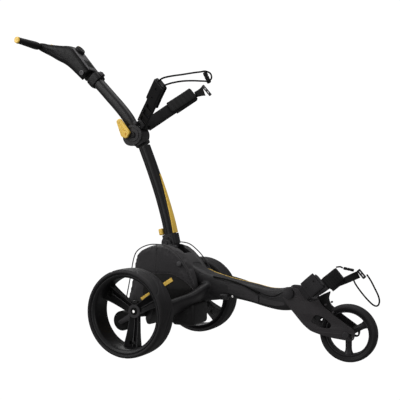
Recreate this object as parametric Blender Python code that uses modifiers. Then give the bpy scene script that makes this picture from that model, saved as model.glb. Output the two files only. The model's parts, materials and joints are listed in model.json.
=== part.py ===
"""Electric golf trolley with twin motors: folding curved mast, T-bar handle, two bag cradles, three wheels.

Units are metres and +Z is up. The trolley drives towards +X and +Y is its left. Places below are written from
the point on the ground under the rear axle's middle, and one empty moves the whole trolley so that the world
origin is on the ground under the middle of its length.
"""

from math import copysign, cos, hypot, pi, radians, sin

import bmesh
import bpy
from mathutils import Matrix, Vector

# ---------------------------------------------------------------- driving dimensions
WHEEL_RADIUS = 0.150
WHEEL_WIDTH = 0.085
TRACK = 0.530
WHEELBASE = 0.680
FRONT_RADIUS = 0.0945
FRONT_WIDTH = 0.051
ANTI_TIP_RADIUS = 0.038
ANTI_TIP_WIDTH = 0.022

MAST_PIVOT = (0.010, 0.372)
MID_JOINT = (-0.137, 0.777)
FORK_PIVOT = (0.485, 0.217)
ANTI_TIP_AXLE = (-0.200, 0.066)
HEAD_TILT_A = 0.3445
HEAD_TILT_N = -0.012
BAR_CENTRE = (-0.582, 1.156)
BAR_HALF_LENGTH = 0.156
BAR_RADIUS = 0.0125
REAR_END = -0.6002
AXLE_X = -(WHEELBASE + FRONT_RADIUS + REAR_END) / 2

GAP = 0.0003
PIN_RADIUS = 0.006
WALL = 0.003

# A golf bag lies along BAG_AXIS, and both cradles open along BAG_OUT, square to it.
BAG_AXIS = Vector((-0.65, 0, 0.76)).normalized()
BAG_OUT = Vector((0.76, 0, 0.65)).normalized()
ACROSS = Vector((0, 1, 0))
UP = Vector((0, 0, 1))

# ---------------------------------------------------------------- scene set-up
for old in list(bpy.data.objects):
    bpy.data.objects.remove(old, do_unlink=True)

parts = bpy.data.collections.new("electric_golf_trolley")
cutters = bpy.data.collections.new("cutters")
for group in (parts, cutters):
    bpy.context.scene.collection.children.link(group)

pivots = {}


def material(name, colour, roughness, metallic=0.0):
    """A plain Principled material."""
    new = bpy.data.materials.new(name)
    new.use_nodes = True
    shader = new.node_tree.nodes["Principled BSDF"]
    shader.inputs["Base Color"].default_value = (*colour, 1)
    shader.inputs["Roughness"].default_value = roughness
    shader.inputs["Metallic"].default_value = metallic
    return new


BLACK_PLASTIC = material("black_plastic", (0.020, 0.019, 0.021), 0.50)
SOFT_PLASTIC = material("soft_plastic", (0.026, 0.025, 0.028), 0.62)
GRAPHITE = material("graphite_metal", (0.045, 0.043, 0.047), 0.38, 0.55)
STEEL = material("steel", (0.55, 0.55, 0.56), 0.28, 1.0)
YELLOW = material("yellow_plastic", (0.70, 0.50, 0.13), 0.38)
TYRE = material("tyre_rubber", (0.024, 0.023, 0.024), 0.72)
PAD = material("pad_rubber", (0.013, 0.012, 0.013), 0.80)
FABRIC = material("bag_fabric", (0.027, 0.025, 0.028), 0.85)
WEBBING = material("webbing", (0.012, 0.012, 0.012), 0.85)
CORD = material("bungee_cord", (0.020, 0.020, 0.020), 0.75)


# ---------------------------------------------------------------- placing and joining
def pivot(name, x, y, z, parent="trolley"):
    """An empty on a joint's axis, at a place given from the rear axle's ground point."""
    empty = bpy.data.objects.new(f"{name}_axis", None)
    parts.objects.link(empty)
    place = Vector((x, y, z))
    if name == "trolley":
        empty.location = (AXLE_X, 0, 0)
    else:
        holder, holder_place = pivots[parent]
        empty.parent = holder
        empty.location = place - holder_place
    pivots[name] = (empty, place)


def attach(obj, body):
    """Parent a finished piece to its body's empty without moving it."""
    empty, place = pivots[body]
    obj.parent = empty
    obj.location = obj.location - place
    return obj


def add(name, mesh, look, body):
    """A new object from a mesh, as a part of a body, or as a cutter when the look is None."""
    obj = bpy.data.objects.new(name, mesh)
    if look is None:
        hide_as_cutter(obj)
    else:
        parts.objects.link(obj)
        mesh.materials.append(look)
    mesh.shade_smooth()
    mesh.set_sharp_from_angle(angle=radians(35))
    return attach(obj, body)


def hide_as_cutter(obj):
    """Keep an object only as the operand of a Boolean."""
    for group in list(obj.users_collection):
        group.objects.unlink(obj)
    cutters.objects.link(obj)
    obj.hide_render = True
    obj.display_type = "WIRE"


def boolean(target, operand, operation):
    """Join or cut with another object, which stays in the file only for this."""
    hide_as_cutter(operand)
    step = target.modifiers.new(operation.title(), "BOOLEAN")
    step.operation = operation
    step.object = operand
    step.solver = "EXACT"
    return target


def union(target, *operands):
    for operand in operands:
        boolean(target, operand, "UNION")
    return target


def cut(target, *operands):
    for operand in operands:
        boolean(target, operand, "DIFFERENCE")
    return target


def bevel(obj, width, segments=1):
    """Break the sharp edges."""
    step = obj.modifiers.new("Bevel", "BEVEL")
    step.width = width
    step.segments = segments
    step.limit_method = "ANGLE"
    step.angle_limit = radians(40)
    return obj


# ---------------------------------------------------------------- shapes
def smooth(knots, steps):
    """Points on a Catmull-Rom curve through knots with any number of components."""
    rows = [knots[0], *knots, knots[-1]]
    points = []
    for i in range(1, len(rows) - 2):
        for k in range(steps):
            t = k / steps
            points.append(
                tuple(
                    b + 0.5 * ((c - a) * t + (2 * a - 5 * b + 4 * c - d) * t**2 + (3 * b - a - 3 * c + d) * t**3)
                    for a, b, c, d in zip(*rows[i - 1 : i + 3])
                )
            )
    points.append(tuple(knots[-1]))
    return points


def rounded(corners, radius, steps=3):
    """A closed outline with each corner replaced by a curve that starts radius away from it."""
    points = []
    for i, corner in enumerate(corners):
        here = Vector(corner)
        before = Vector(corners[i - 1]) - here
        after = Vector(corners[(i + 1) % len(corners)]) - here
        start = here + before.normalized() * min(radius, before.length * 0.45)
        end = here + after.normalized() * min(radius, after.length * 0.45)
        for k in range(steps + 1):
            t = k / steps
            points.append(tuple((1 - t) ** 2 * start + 2 * t * (1 - t) * here + t**2 * end))
    return points


def circle(x, z, radius, count=16):
    return [(x + radius * cos(2 * pi * i / count), z + radius * sin(2 * pi * i / count)) for i in range(count)]


def section(count, power):
    """A unit superellipse: power 2 is round, and 5 is a box with soft corners."""
    points = []
    for i in range(count):
        angle = 2 * pi * (i + 0.5) / count
        c, s = cos(angle), sin(angle)
        points.append((copysign(abs(c) ** (2 / power), c), copysign(abs(s) ** (2 / power), s)))
    return points


def loft(name, look, body, stations, side=ACROSS, power=2.5, count=16):
    """A closed skin through sections on a path.

    A station is (x, y, z, half width along side, half height square to side and path).
    """
    path = [Vector(s[:3]) for s in stations]
    unit = section(count, power)
    shape = bmesh.new()
    rings = []
    for i, (point, station) in enumerate(zip(path, stations)):
        along = (path[min(i + 1, len(path) - 1)] - path[max(i - 1, 0)]).normalized()
        wide = (side - side.dot(along) * along).normalized()
        high = along.cross(wide)
        ring = [shape.verts.new(point + wide * (u * station[3]) + high * (v * station[4])) for u, v in unit]
        rings.append(ring)
    for first, second in zip(rings, rings[1:]):
        for k in range(count):
            shape.faces.new((first[k], first[(k + 1) % count], second[(k + 1) % count], second[k]))
    shape.faces.new(rings[0])
    shape.faces.new(rings[-1])
    bmesh.ops.recalc_face_normals(shape, faces=shape.faces)
    mesh = bpy.data.meshes.new(name)
    shape.to_mesh(mesh)
    shape.free()
    return add(name, mesh, look, body)


def grown(stations, amount):
    """The same stations with a larger section, for a pocket that clears the piece."""
    return [(x, y, z, a + amount, b + amount) for x, y, z, a, b in stations]


def plate(name, look, body, outline, low_y, high_y, holes=()):
    """A flat sheet in an XZ plane between two Y values, from an outline and holes of (x, z) points."""
    curve = bpy.data.curves.new(name, "CURVE")
    curve.dimensions = "2D"
    curve.fill_mode = "BOTH"
    curve.extrude = (high_y - low_y) / 2
    for loop in (outline, *holes):
        spline = curve.splines.new("POLY")
        spline.points.add(len(loop) - 1)
        for point, (x, z) in zip(spline.points, loop):
            point.co = (x, z, 0, 1)
        spline.use_cyclic_u = True
    sheet = as_mesh(curve)
    obj = add(name, sheet, look, body)
    obj.rotation_euler = (pi / 2, 0, 0)
    obj.location = obj.location + Vector((0, (low_y + high_y) / 2, 0))
    return obj


def as_mesh(curve):
    """A curve's evaluated shape as a welded mesh."""
    guide = bpy.data.objects.new(curve.name, curve)
    parts.objects.link(guide)
    bpy.context.view_layer.update()
    mesh = bpy.data.meshes.new_from_object(guide.evaluated_get(bpy.context.evaluated_depsgraph_get()))
    bpy.data.objects.remove(guide, do_unlink=True)
    shape = bmesh.new()
    shape.from_mesh(mesh)
    bmesh.ops.remove_doubles(shape, verts=shape.verts, dist=0.00001)
    shape.to_mesh(mesh)
    shape.free()
    return mesh


def cord(name, look, body, route, radius, count, resolution=2):
    """A round cord along a smooth curve through the route, drawn with count straight pieces."""
    fine = [Vector(p) for p in smooth(route, 24)]
    lengths = [0.0]
    for a, b in zip(fine, fine[1:]):
        lengths.append(lengths[-1] + (b - a).length)
    curve = bpy.data.curves.new(name, "CURVE")
    curve.dimensions = "3D"
    curve.bevel_depth = radius
    curve.bevel_resolution = resolution
    curve.use_fill_caps = True
    spline = curve.splines.new("POLY")
    spline.points.add(count)
    at = 0
    for k in range(count + 1):
        goal = lengths[-1] * k / count
        while at < len(fine) - 2 and lengths[at + 1] < goal:
            at += 1
        share = (goal - lengths[at]) / (lengths[at + 1] - lengths[at])
        spline.points[k].co = (*fine[at].lerp(fine[at + 1], min(share, 1)), 1)
    return add(name, as_mesh(curve), look, body)


def box(name, look, body, centre, size, across=Vector((1, 0, 0)), up=UP, soft=0.0):
    """A box whose local X and Z lie along the two given directions."""
    shape = bmesh.new()
    bmesh.ops.create_cube(shape, size=1)
    bmesh.ops.scale(shape, vec=size, verts=shape.verts)
    mesh = bpy.data.meshes.new(name)
    shape.to_mesh(mesh)
    shape.free()
    obj = add(name, mesh, look, body)
    obj.location = obj.location + Vector(centre)
    side = up.cross(across).normalized()
    obj.rotation_euler = frame_rotation(across.normalized(), side, up.normalized())
    return bevel(obj, soft) if soft else obj


def frame_rotation(x_axis, y_axis, z_axis):
    """Euler angles of the frame with these axes."""
    return Matrix((x_axis, y_axis, z_axis)).transposed().to_euler()


def rod(name, look, body, start, end, radius, sides=20, end_radius=None):
    """A round bar, or a cone when the end has its own radius."""
    start, end = Vector(start), Vector(end)
    shape = bmesh.new()
    bmesh.ops.create_cone(
        shape,
        cap_ends=True,
        segments=sides,
        radius1=radius,
        radius2=radius if end_radius is None else end_radius,
        depth=(end - start).length,
    )
    mesh = bpy.data.meshes.new(name)
    shape.to_mesh(mesh)
    shape.free()
    obj = add(name, mesh, look, body)
    obj.location = obj.location + (start + end) / 2
    obj.rotation_euler = (end - start).to_track_quat("Z", "Y").to_euler()
    return obj


def turned(name, look, body, profile, centre, axis=ACROSS, steps=36, ring=False):
    """A turned piece from (radius, offset along the axis) points; a ring's profile is a closed loop."""
    area = sum(a[0] * b[1] - b[0] * a[1] for a, b in zip(profile, profile[1:] + profile[:1]))
    points = profile if area < 0 else profile[::-1]
    mesh = bpy.data.meshes.new(name)
    edges = [(i, i + 1) for i in range(len(points) - 1)]
    if ring:
        edges.append((len(points) - 1, 0))
    mesh.from_pydata([(r, 0, h) for r, h in points], edges, [])
    obj = add(name, mesh, look, body)
    obj.location = obj.location + Vector(centre)
    obj.rotation_euler = axis.to_track_quat("Z", "Y").to_euler()
    spin = obj.modifiers.new("Screw", "SCREW")
    spin.steps = steps
    spin.render_steps = steps
    spin.use_merge_vertices = True
    spin.merge_threshold = 0.00001
    spin.use_smooth_shade = True
    return obj


def bore(x, z, radius, body="trolley", half_length=0.4, sides=16):
    """A cutter for a hole along Y."""
    return rod("bore", None, body, (x, -half_length, z), (x, half_length, z), radius, sides)


def on_bag(origin, across, out, along=0.0):
    """A point from a cradle's origin: across the trolley, out of the cradle, and along the bag."""
    return Vector((origin[0], across, origin[1])) + BAG_OUT * out + BAG_AXIS * along


# ---------------------------------------------------------------- joint axes
pivot("trolley", 0, 0, 0)
for label, sign in (("right", -1), ("left", 1)):
    pivot(f"wheel_{label}", 0, sign * TRACK / 2, WHEEL_RADIUS)
pivot("anti_tip", ANTI_TIP_AXLE[0], 0, ANTI_TIP_AXLE[1])
pivot("fork", FORK_PIVOT[0], 0, FORK_PIVOT[1])
pivot("front_wheel", WHEELBASE, 0, FRONT_RADIUS, "fork")
pivot("mast", MAST_PIVOT[0], 0, MAST_PIVOT[1])
pivot("latch", -0.030, 0, 0.402, "mast")
pivot("handle", MID_JOINT[0], 0, MID_JOINT[1], "mast")
LEVER_Y = -0.0395
pivot("lever", -0.159, LEVER_Y, 0.763, "handle")
HEAD_PIVOT = on_bag(MID_JOINT, 0, HEAD_TILT_N, HEAD_TILT_A)
pivot("head", *HEAD_PIVOT, "handle")
DIAL_SEAT = on_bag(MID_JOINT, 0, 0.0206, 0.440)
pivot("dial", *DIAL_SEAT, "head")
BUTTON_OUT = Vector((0.306, 0, 0.952)).normalized()
BUTTON_SEAT = Vector((-0.5350, 0, 1.1575))
pivot("power", *BUTTON_SEAT, "head")
ANGLE_SEAT = on_bag(MID_JOINT, 0, 0.0320, 0.2935)
pivot("angle", *ANGLE_SEAT, "handle")

# ---------------------------------------------------------------- chassis
BEAM = [
    (0.513, 0, 0.2160, 0.022, 0.012),
    (0.500, 0, 0.2125, 0.030, 0.022),
    (0.480, 0, 0.2050, 0.033, 0.030),
    (0.446, 0, 0.1910, 0.033, 0.036),
    (0.400, 0, 0.1945, 0.033, 0.033),
    (0.340, 0, 0.2090, 0.035, 0.034),
    (0.265, 0, 0.2225, 0.038, 0.037),
    (0.205, 0, 0.2330, 0.041, 0.045),
    (0.160, 0, 0.2620, 0.044, 0.036),
    (0.110, 0, 0.3030, 0.043, 0.028),
    (0.062, 0, 0.3400, 0.038, 0.025),
    (0.022, 0, 0.3440, 0.034, 0.024),
]
WING = [
    (0.052, -0.192, 0.168, 0.072, 0.024),
    (0.062, -0.160, 0.172, 0.078, 0.022),
    (0.085, -0.120, 0.178, 0.086, 0.018),
    (0.108, -0.060, 0.180, 0.112, 0.017),
    (0.120, 0.000, 0.180, 0.125, 0.017),
    (0.108, 0.060, 0.180, 0.112, 0.017),
    (0.085, 0.120, 0.178, 0.086, 0.018),
    (0.062, 0.160, 0.172, 0.078, 0.022),
    (0.052, 0.192, 0.168, 0.072, 0.024),
]
FORWARD = Vector((1, 0, 0))
CHEEK_Y = 0.036
TONGUE_Y = 0.0232
HOUSING_RADIUS = 0.038
HOUSING_HALF = 0.1175
NECK_RADIUS = 0.017
SOCKET_CENTRE = (0.0115, 0, 0.358)
SOCKET_SIZE = (0.083, 2 * CHEEK_Y, 0.068)


def chassis_frame():
    """Beam, spine, side wings and the mast's socket, cast in one piece."""
    frame = loft("chassis_frame", GRAPHITE, "trolley", BEAM, power=4, count=16)
    wing = loft("wing", None, "trolley", WING, side=FORWARD, power=2.4, count=14)
    socket = box("socket", None, "trolley", SOCKET_CENTRE, SOCKET_SIZE, soft=0.006)
    union(frame, wing, socket)
    catch = box("catch", None, "trolley", (0.250, -0.043, 0.193), (0.030, 0.022, 0.020), soft=0.004)
    union(frame, catch)
    slot = box("slot", None, "trolley", (0.010, 0, 0.3905), (0.20, 2 * (TONGUE_Y + GAP), 0.109))
    axle_room = bore(0, WHEEL_RADIUS, HOUSING_RADIUS + 0.0005, half_length=HOUSING_HALF + 0.0005, sides=28)
    neck_room = bore(0, WHEEL_RADIUS, NECK_RADIUS + 2 * GAP, sides=20)
    mast_hole = bore(*MAST_PIVOT, PIN_RADIUS - 0.001 + GAP)
    fork_hole = bore(*FORK_PIVOT, PIN_RADIUS + GAP)
    cut(frame, slot, axle_room, neck_room, mast_hole, fork_hole)


def axle_and_motors():
    """The tube across the chassis, and a motor in each end of it whose gearbox neck runs out to the wheel."""
    wall = 0.005
    half = HOUSING_HALF
    ring = [
        (HOUSING_RADIUS, -half),
        (HOUSING_RADIUS, half),
        (HOUSING_RADIUS - wall, half),
        (HOUSING_RADIUS - wall, -half),
    ]
    turned("axle_housing", GRAPHITE, "trolley", ring, (0, 0, WHEEL_RADIUS), steps=28, ring=True)
    can = [
        (0, 0.010),
        (0.030, 0.010),
        (0.030, 0.095),
        (0.0325, 0.095),
        (0.0325, HOUSING_HALF - GAP),
        (NECK_RADIUS, HOUSING_HALF - GAP),
        (NECK_RADIUS, 0.212),
        (PIN_RADIUS + GAP, 0.212),
        (PIN_RADIUS + GAP, 0.156),
        (0, 0.156),
    ]
    for side, sign in (("right", -1), ("left", 1)):
        profile = [(r, sign * y) for r, y in can]
        turned(f"gearmotor_{side}", STEEL, "trolley", profile, (0, 0, WHEEL_RADIUS), steps=20)


def electronics_and_tray():
    """The speed controller under the wing and the tray that the battery stands on."""
    box("controller_box", BLACK_PLASTIC, "trolley", (0.100, 0, 0.1195), (0.110, 0.120, 0.082), soft=0.006)
    tray = box("battery_tray", BLACK_PLASTIC, "trolley", (0.016, 0, 0.202), (0.250, 0.164, 0.007), soft=0.002)
    cut(tray, loft("beam_room", None, "trolley", grown(BEAM, 0.0006), power=4, count=16))


BAG_TOP = smooth(
    [
        (-0.1149, 0.2380),
        (-0.0976, 0.3180),
        (-0.0774, 0.3460),
        (-0.0376, 0.3640),
        (0.0033, 0.3675),
        (0.0452, 0.3620),
        (0.0857, 0.3345),
        (0.1130, 0.3040),
        (0.1322, 0.2742),
        (0.1516, 0.2293),
        (0.1530, 0.2062),
    ],
    2,
)
BAG_OUTLINE = [(-0.118, 0.2062), *BAG_TOP]
BAG_HALF = 0.086
BAG_WALL = 0.004


def battery():
    """The fabric case round the battery, open below, the cell pack inside it and its two side straps."""
    bag = plate("battery_bag", FABRIC, "trolley", BAG_OUTLINE, -BAG_HALF, BAG_HALF)
    middle = Vector((0.020, 0.260))
    inner = []
    for x, z in BAG_OUTLINE:
        inward = (middle - Vector((x, z))).normalized() * BAG_WALL
        inner.append((x + inward.x, z + inward.y if z > 0.21 else 0.190))
    edge = BAG_HALF - BAG_WALL
    bevel(bag, 0.008)
    cut(
        bag,
        plate("bag_room", None, "trolley", inner, -edge, edge),
        loft("spine_room", None, "trolley", grown(BEAM, 0.0008), power=4, count=16),
        box("socket_room", None, "trolley", SOCKET_CENTRE, tuple(s + 0.002 for s in SOCKET_SIZE)),
        box("mast_room", None, "trolley", (0.056, 0, 0.396), (0.152, 0.051, 0.120)),
    )
    box("battery_pack", BLACK_PLASTIC, "trolley", (-0.030, 0, 0.2530), (0.092, 0.150, 0.0940), soft=0.004)
    low, high = Vector((-0.058, 0, 0.172)), Vector((0.066, 0, 0.2475))
    run = high - low
    for side, sign in (("right", -1), ("left", 1)):
        centre = (low + high) / 2 + ACROSS * (sign * (BAG_HALF + 0.0018))
        size = (run.length, 0.002, 0.014)
        box(f"battery_strap_{side}", YELLOW, "trolley", centre, size, across=run, up=ACROSS.cross(run) * -1)


def anti_tip():
    """The arm behind the axle and its small wheel, which stop the trolley from tipping back."""
    x, z = ANTI_TIP_AXLE
    arm_inner, arm_outer = -0.0135, -0.0215
    outline = rounded([(-0.048, 0.168), (-0.048, 0.128), (x - 0.010, z - 0.014), (x - 0.014, z + 0.014)], 0.012)
    arm = plate("anti_tip_arm", BLACK_PLASTIC, "trolley", outline, arm_outer, arm_inner)
    root = box("root", None, "trolley", (-0.052, 0, 0.148), (0.022, 0.043, 0.036))
    stub = rod("stub", None, "trolley", (x, arm_inner - 0.004, z), (x, 0.0150, z), 0.005, 16)
    union(arm, root, stub)
    cut(arm, bore(0, WHEEL_RADIUS, HOUSING_RADIUS + 0.0005, sides=28))
    half = ANTI_TIP_WIDTH / 2
    wheel = [
        (0.0054, -half),
        (ANTI_TIP_RADIUS - 0.005, -half),
        (ANTI_TIP_RADIUS, -half + 0.005),
        (ANTI_TIP_RADIUS, half - 0.005),
        (ANTI_TIP_RADIUS - 0.005, half),
        (0.0054, half),
    ]
    turned("anti_tip_wheel", TYRE, "anti_tip", wheel, (x, 0, z), steps=28, ring=True)


def wheel_spokes(centre, offset, body, phase, rim_radius, sizes):
    """Three tapered spokes in the XZ plane as cutter objects, ready to be joined to a rim."""
    spokes = []
    for k in range(3):
        angle = phase + k * 2 * pi / 3
        out = Vector((cos(angle), 0, sin(angle)))
        side = Vector((-sin(angle), 0, cos(angle)))
        base = Vector(centre) + ACROSS * offset
        stations = [(*(base + out * (rim_radius * share)), width, thick) for share, width, thick in sizes]
        spokes.append(loft("spoke", None, body, stations, side=side, power=4, count=8))
    return spokes


def rear_wheel(label, sign, phase):
    """A drive wheel: tyre, dished three-spoke rim, and the motor's output shaft with its wheel bolt."""
    body = f"wheel_{label}"
    centre = (0, sign * TRACK / 2, WHEEL_RADIUS)
    half = WHEEL_WIDTH / 2
    crown = [(0.1290, 0.031), (0.1330, 0.0400), (0.1405, half), (0.1478, 0.0345), (WHEEL_RADIUS, 0.016)]
    tyre = crown + [(r, -w) for r, w in reversed(crown)]
    turned(f"tyre_{label}", TYRE, body, tyre, centre, steps=28, ring=True)
    barrel = [(0.1287, -0.031), (0.1287, 0.031), (0.1220, 0.034), (0.1220, -0.034)]
    rim = turned(f"rim_{label}", BLACK_PLASTIC, body, barrel, centre, steps=28, ring=True)
    inner_face, outer_face = -0.0400, -0.0210
    hub = [
        (0, inner_face),
        (0.026, inner_face),
        (0.026, outer_face - 0.003),
        (0.022, outer_face),
        (0, outer_face),
    ]
    hub_piece = turned("hub", None, body, [(r, sign * y) for r, y in hub], centre, steps=24)
    sizes = [(0.08, 0.021, 0.0060), (0.45, 0.023, 0.0050), (1.0, 0.030, 0.0060)]
    union(rim, *wheel_spokes(centre, sign * -0.0270, body, phase, 0.1240, sizes), hub_piece)
    cut(rim, bore(0, WHEEL_RADIUS, PIN_RADIUS + GAP, body))
    outer = TRACK / 2 + outer_face + GAP
    shaft = [
        (0, 0.160),
        (PIN_RADIUS, 0.160),
        (PIN_RADIUS, outer),
        (0.0115, outer),
        (0.0115, 0.2500),
        (0, 0.2500),
    ]
    profile = [(r, sign * y) for r, y in shaft]
    turned(f"axle_shaft_{label}", STEEL, body, profile, (0, 0, WHEEL_RADIUS), steps=20)


# ---------------------------------------------------------------- front fork
FORK_OUTLINE = [
    (0.470, 0.238),
    (0.500, 0.238),
    (0.5220, 0.2325),
    (0.5575, 0.1915),
    (0.5800, 0.2050),
    (0.6070, 0.2230),
    (0.6025, 0.2000),
    (0.6150, 0.1740),
    (0.6470, 0.1500),
    (0.7110, 0.1080),
    (0.7060, 0.0760),
    (0.6790, 0.0765),
    (0.6310, 0.0810),
    (0.5940, 0.0880),
    (0.5600, 0.0980),
    (0.5330, 0.1200),
    (0.5120, 0.1440),
    (0.4740, 0.1860),
    (0.4620, 0.2120),
]
FORK_WINDOW = [(0.561, 0.127), (0.580, 0.155), (0.617, 0.140), (0.635, 0.122), (0.626, 0.110), (0.603, 0.110)]
PLATE_IN = 0.034
PLATE_OUT = 0.040
SPACER = (0.583, 0.143)
CRADLE_FOOT = (0.545, 0.216)


def fork():
    """Two side plates with a spacer between them, on the fold pin, and the front wheel on its axle."""
    slot = rounded([(0.692, 0.085), (0.701, 0.085), (0.701, 0.097), (0.692, 0.097)], 0.003)
    holes = [
        rounded(FORK_WINDOW, 0.012),
        circle(*FORK_PIVOT, PIN_RADIUS + GAP),
        circle(WHEELBASE, FRONT_RADIUS, PIN_RADIUS + GAP),
        slot,
    ]
    outline = rounded(FORK_OUTLINE, 0.010, 2)
    plate("fork_plate_right", GRAPHITE, "fork", outline, -PLATE_OUT, -PLATE_IN, holes)
    plate("fork_plate_left", GRAPHITE, "fork", outline, PLATE_IN, PLATE_OUT, holes)
    inside = PLATE_IN - GAP
    x, z = SPACER
    rod("fork_spacer", BLACK_PLASTIC, "fork", (x, -inside, z), (x, inside, z), 0.0125, 18)
    fold = through_bolt(0.0225, 0.006)
    turned("fold_pin", BLACK_PLASTIC, "trolley", fold, (FORK_PIVOT[0], 0, FORK_PIVOT[1]), steps=20)
    axle = through_bolt(0.0100, 0.006)
    turned("front_axle", STEEL, "fork", axle, (WHEELBASE, 0, FRONT_RADIUS), steps=20)


def through_bolt(head_radius, head_height):
    """The profile of a pin through both fork plates with a round head outside each."""
    face = PLATE_OUT + GAP
    return [
        (0, -face - head_height),
        (head_radius, -face - head_height),
        (head_radius, -face),
        (PIN_RADIUS, -face),
        (PIN_RADIUS, face),
        (head_radius, face),
        (head_radius, face + head_height),
        (0, face + head_height),
    ]


def front_wheel():
    """The narrow front wheel with three round spokes."""
    centre = (WHEELBASE, 0, FRONT_RADIUS)
    half = FRONT_WIDTH / 2
    side = [(0.0740, 0.017), (0.0790, 0.0235), (0.0855, half), (0.0917, 0.0185), (FRONT_RADIUS, 0.007)]
    profile = side + [(r, -w) for r, w in reversed(side)]
    turned("front_tyre", TYRE, "front_wheel", profile, centre, steps=28, ring=True)
    barrel = [(0.0737, -0.0175), (0.0737, 0.0175), (0.0690, 0.0190), (0.0690, -0.0190)]
    rim = turned("front_rim", BLACK_PLASTIC, "front_wheel", barrel, centre, steps=28, ring=True)
    hub_profile = [(0, -0.028), (0.016, -0.028), (0.016, 0.028), (0, 0.028)]
    hub = turned("hub", None, "front_wheel", hub_profile, centre, steps=20)
    sizes = [(0.10, 0.009, 0.009), (0.75, 0.008, 0.008), (1.0, 0.014, 0.012)]
    union(rim, *wheel_spokes(centre, 0, "front_wheel", -pi / 2, 0.071, sizes), hub)
    cut(rim, bore(WHEELBASE, FRONT_RADIUS, PIN_RADIUS + GAP, "front_wheel"))


# ---------------------------------------------------------------- bag cradles
BAND = 0.005
PAD_HALF = 0.004
LOWER_HALF_WIDTH = 0.022
LOWER_BAND = [(0, 0.000), (0.045, 0.002), (0.082, 0.012), (0.106, 0.034), (0.116, 0.062), (0.117, 0.095)]
UPPER_HALF_WIDTH = 0.018
UPPER_ALONG = 0.012
UPPER_ARM = [(0.012, 0.050), (0.038, 0.095), (0.066, 0.146), (0.097, 0.195), (0.124, 0.243)]


def band(name, look, body, foot, points, half_width, half_thick, along=0.0, inward=0.0):
    """A strip through (across, out) points of a cradle, moved inward to lie on another strip."""
    knots = smooth(points, 2)
    rows = []
    for i, (y, n) in enumerate(knots):
        before, after = knots[max(i - 1, 0)], knots[min(i + 1, len(knots) - 1)]
        dy, dn = after[0] - before[0], after[1] - before[1]
        length = hypot(dy, dn)
        y_in, n_in = y - inward * dn / length, n + inward * dy / length
        rows.append((*on_bag(foot, y_in, n_in, along), half_width, half_thick))
    return loft(name, look, body, rows, side=BAG_AXIS, power=5, count=12)


def mirrored(points, sign):
    return [(sign * y, n) for y, n in points]


def lower_cradle():
    """The U-shaped band over the fork that the bag's base sits in, its rubber pads and its foot block."""
    whole = mirrored(LOWER_BAND[:0:-1], -1) + LOWER_BAND
    cradle = band("lower_cradle", BLACK_PLASTIC, "fork", CRADLE_FOOT, whole, LOWER_HALF_WIDTH, BAND)
    block = plate(
        "block",
        None,
        "fork",
        [
            (0.5560, 0.2050),
            (0.5900, 0.2050),
            (0.5960, 0.1850),
            (0.5780, 0.1680),
            (0.5630, 0.1720),
            (0.5520, 0.1950),
        ],
        -PLATE_IN + GAP,
        PLATE_IN - GAP,
    )
    union(cradle, block)
    offset = BAND + PAD_HALF + GAP
    for label, sign in (("right", -1), ("left", 1)):
        points = mirrored(LOWER_BAND[3:], sign)
        name = f"lower_pad_{label}"
        band(name, PAD, "fork", CRADLE_FOOT, points, LOWER_HALF_WIDTH - 0.001, PAD_HALF, inward=sign * offset)


def upper_cradle():
    """The forked arms at the mid joint that the bag's top leans on, with their rubber pads."""
    centre = on_bag(MID_JOINT, 0, 0.0510, UPPER_ALONG)
    size = (0.024, 0.052, 0.036)
    yoke = box("upper_cradle", BLACK_PLASTIC, "mast", centre, size, across=BAG_OUT, up=BAG_AXIS)
    bevel(yoke, 0.002)
    offset = BAND + PAD_HALF + GAP
    for label, sign in (("right", -1), ("left", 1)):
        points = mirrored(UPPER_ARM, sign)
        union(yoke, band("arm", None, "mast", MID_JOINT, points, UPPER_HALF_WIDTH, BAND, UPPER_ALONG))
        pad_points = mirrored(UPPER_ARM[2:], sign)
        name = f"upper_pad_{label}"
        half = UPPER_HALF_WIDTH - 0.001
        band(name, PAD, "mast", MID_JOINT, pad_points, half, PAD_HALF, UPPER_ALONG, sign * offset)


UPPER_BUNGEE = [
    (0.0335, -0.1250, 0.9580),
    (0.0480, -0.1150, 0.9740),
    (0.0660, -0.0850, 0.9850),
    (0.0820, -0.0400, 0.9960),
    (0.0990, 0.0150, 1.0100),
    (0.1070, 0.0500, 1.0180),
    (0.1170, 0.0660, 1.0230),
    (0.1340, 0.0700, 1.0140),
    (0.1400, 0.0680, 0.9950),
    (0.1320, 0.0620, 0.9780),
    (0.1180, 0.0450, 0.9740),
    (0.1020, 0.0000, 0.9680),
    (0.0850, -0.0500, 0.9600),
    (0.0680, -0.0950, 0.9480),
    (0.0530, -0.1240, 0.9360),
]
LOWER_BUNGEE = [
    (0.6090, 0.1080, 0.2980),
    (0.6250, 0.0960, 0.3010),
    (0.6370, 0.0800, 0.2995),
]
LOWER_LOOP = [
    (0.7200, 0.0830, 0.2800),
    (0.7330, 0.0800, 0.2620),
    (0.7470, 0.0760, 0.2380),
    (0.7600, 0.0740, 0.2120),
    (0.7640, 0.0730, 0.1930),
    (0.7580, 0.0730, 0.1790),
    (0.7440, 0.0740, 0.1800),
    (0.7230, 0.0770, 0.1970),
    (0.7000, 0.0820, 0.2210),
    (0.6810, 0.0880, 0.2440),
    (0.6720, 0.0950, 0.2580),
]


def webbing(name, body, foot, rows):
    """A flat strap from (across, out, along the bag, half width) rows, given from a cradle's foot."""
    stations = [(*on_bag(foot, y, n, a), half, 0.001) for y, n, a, half in rows]
    loft(name, WEBBING, body, stations, side=BAG_AXIS, power=6, count=8)


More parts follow.
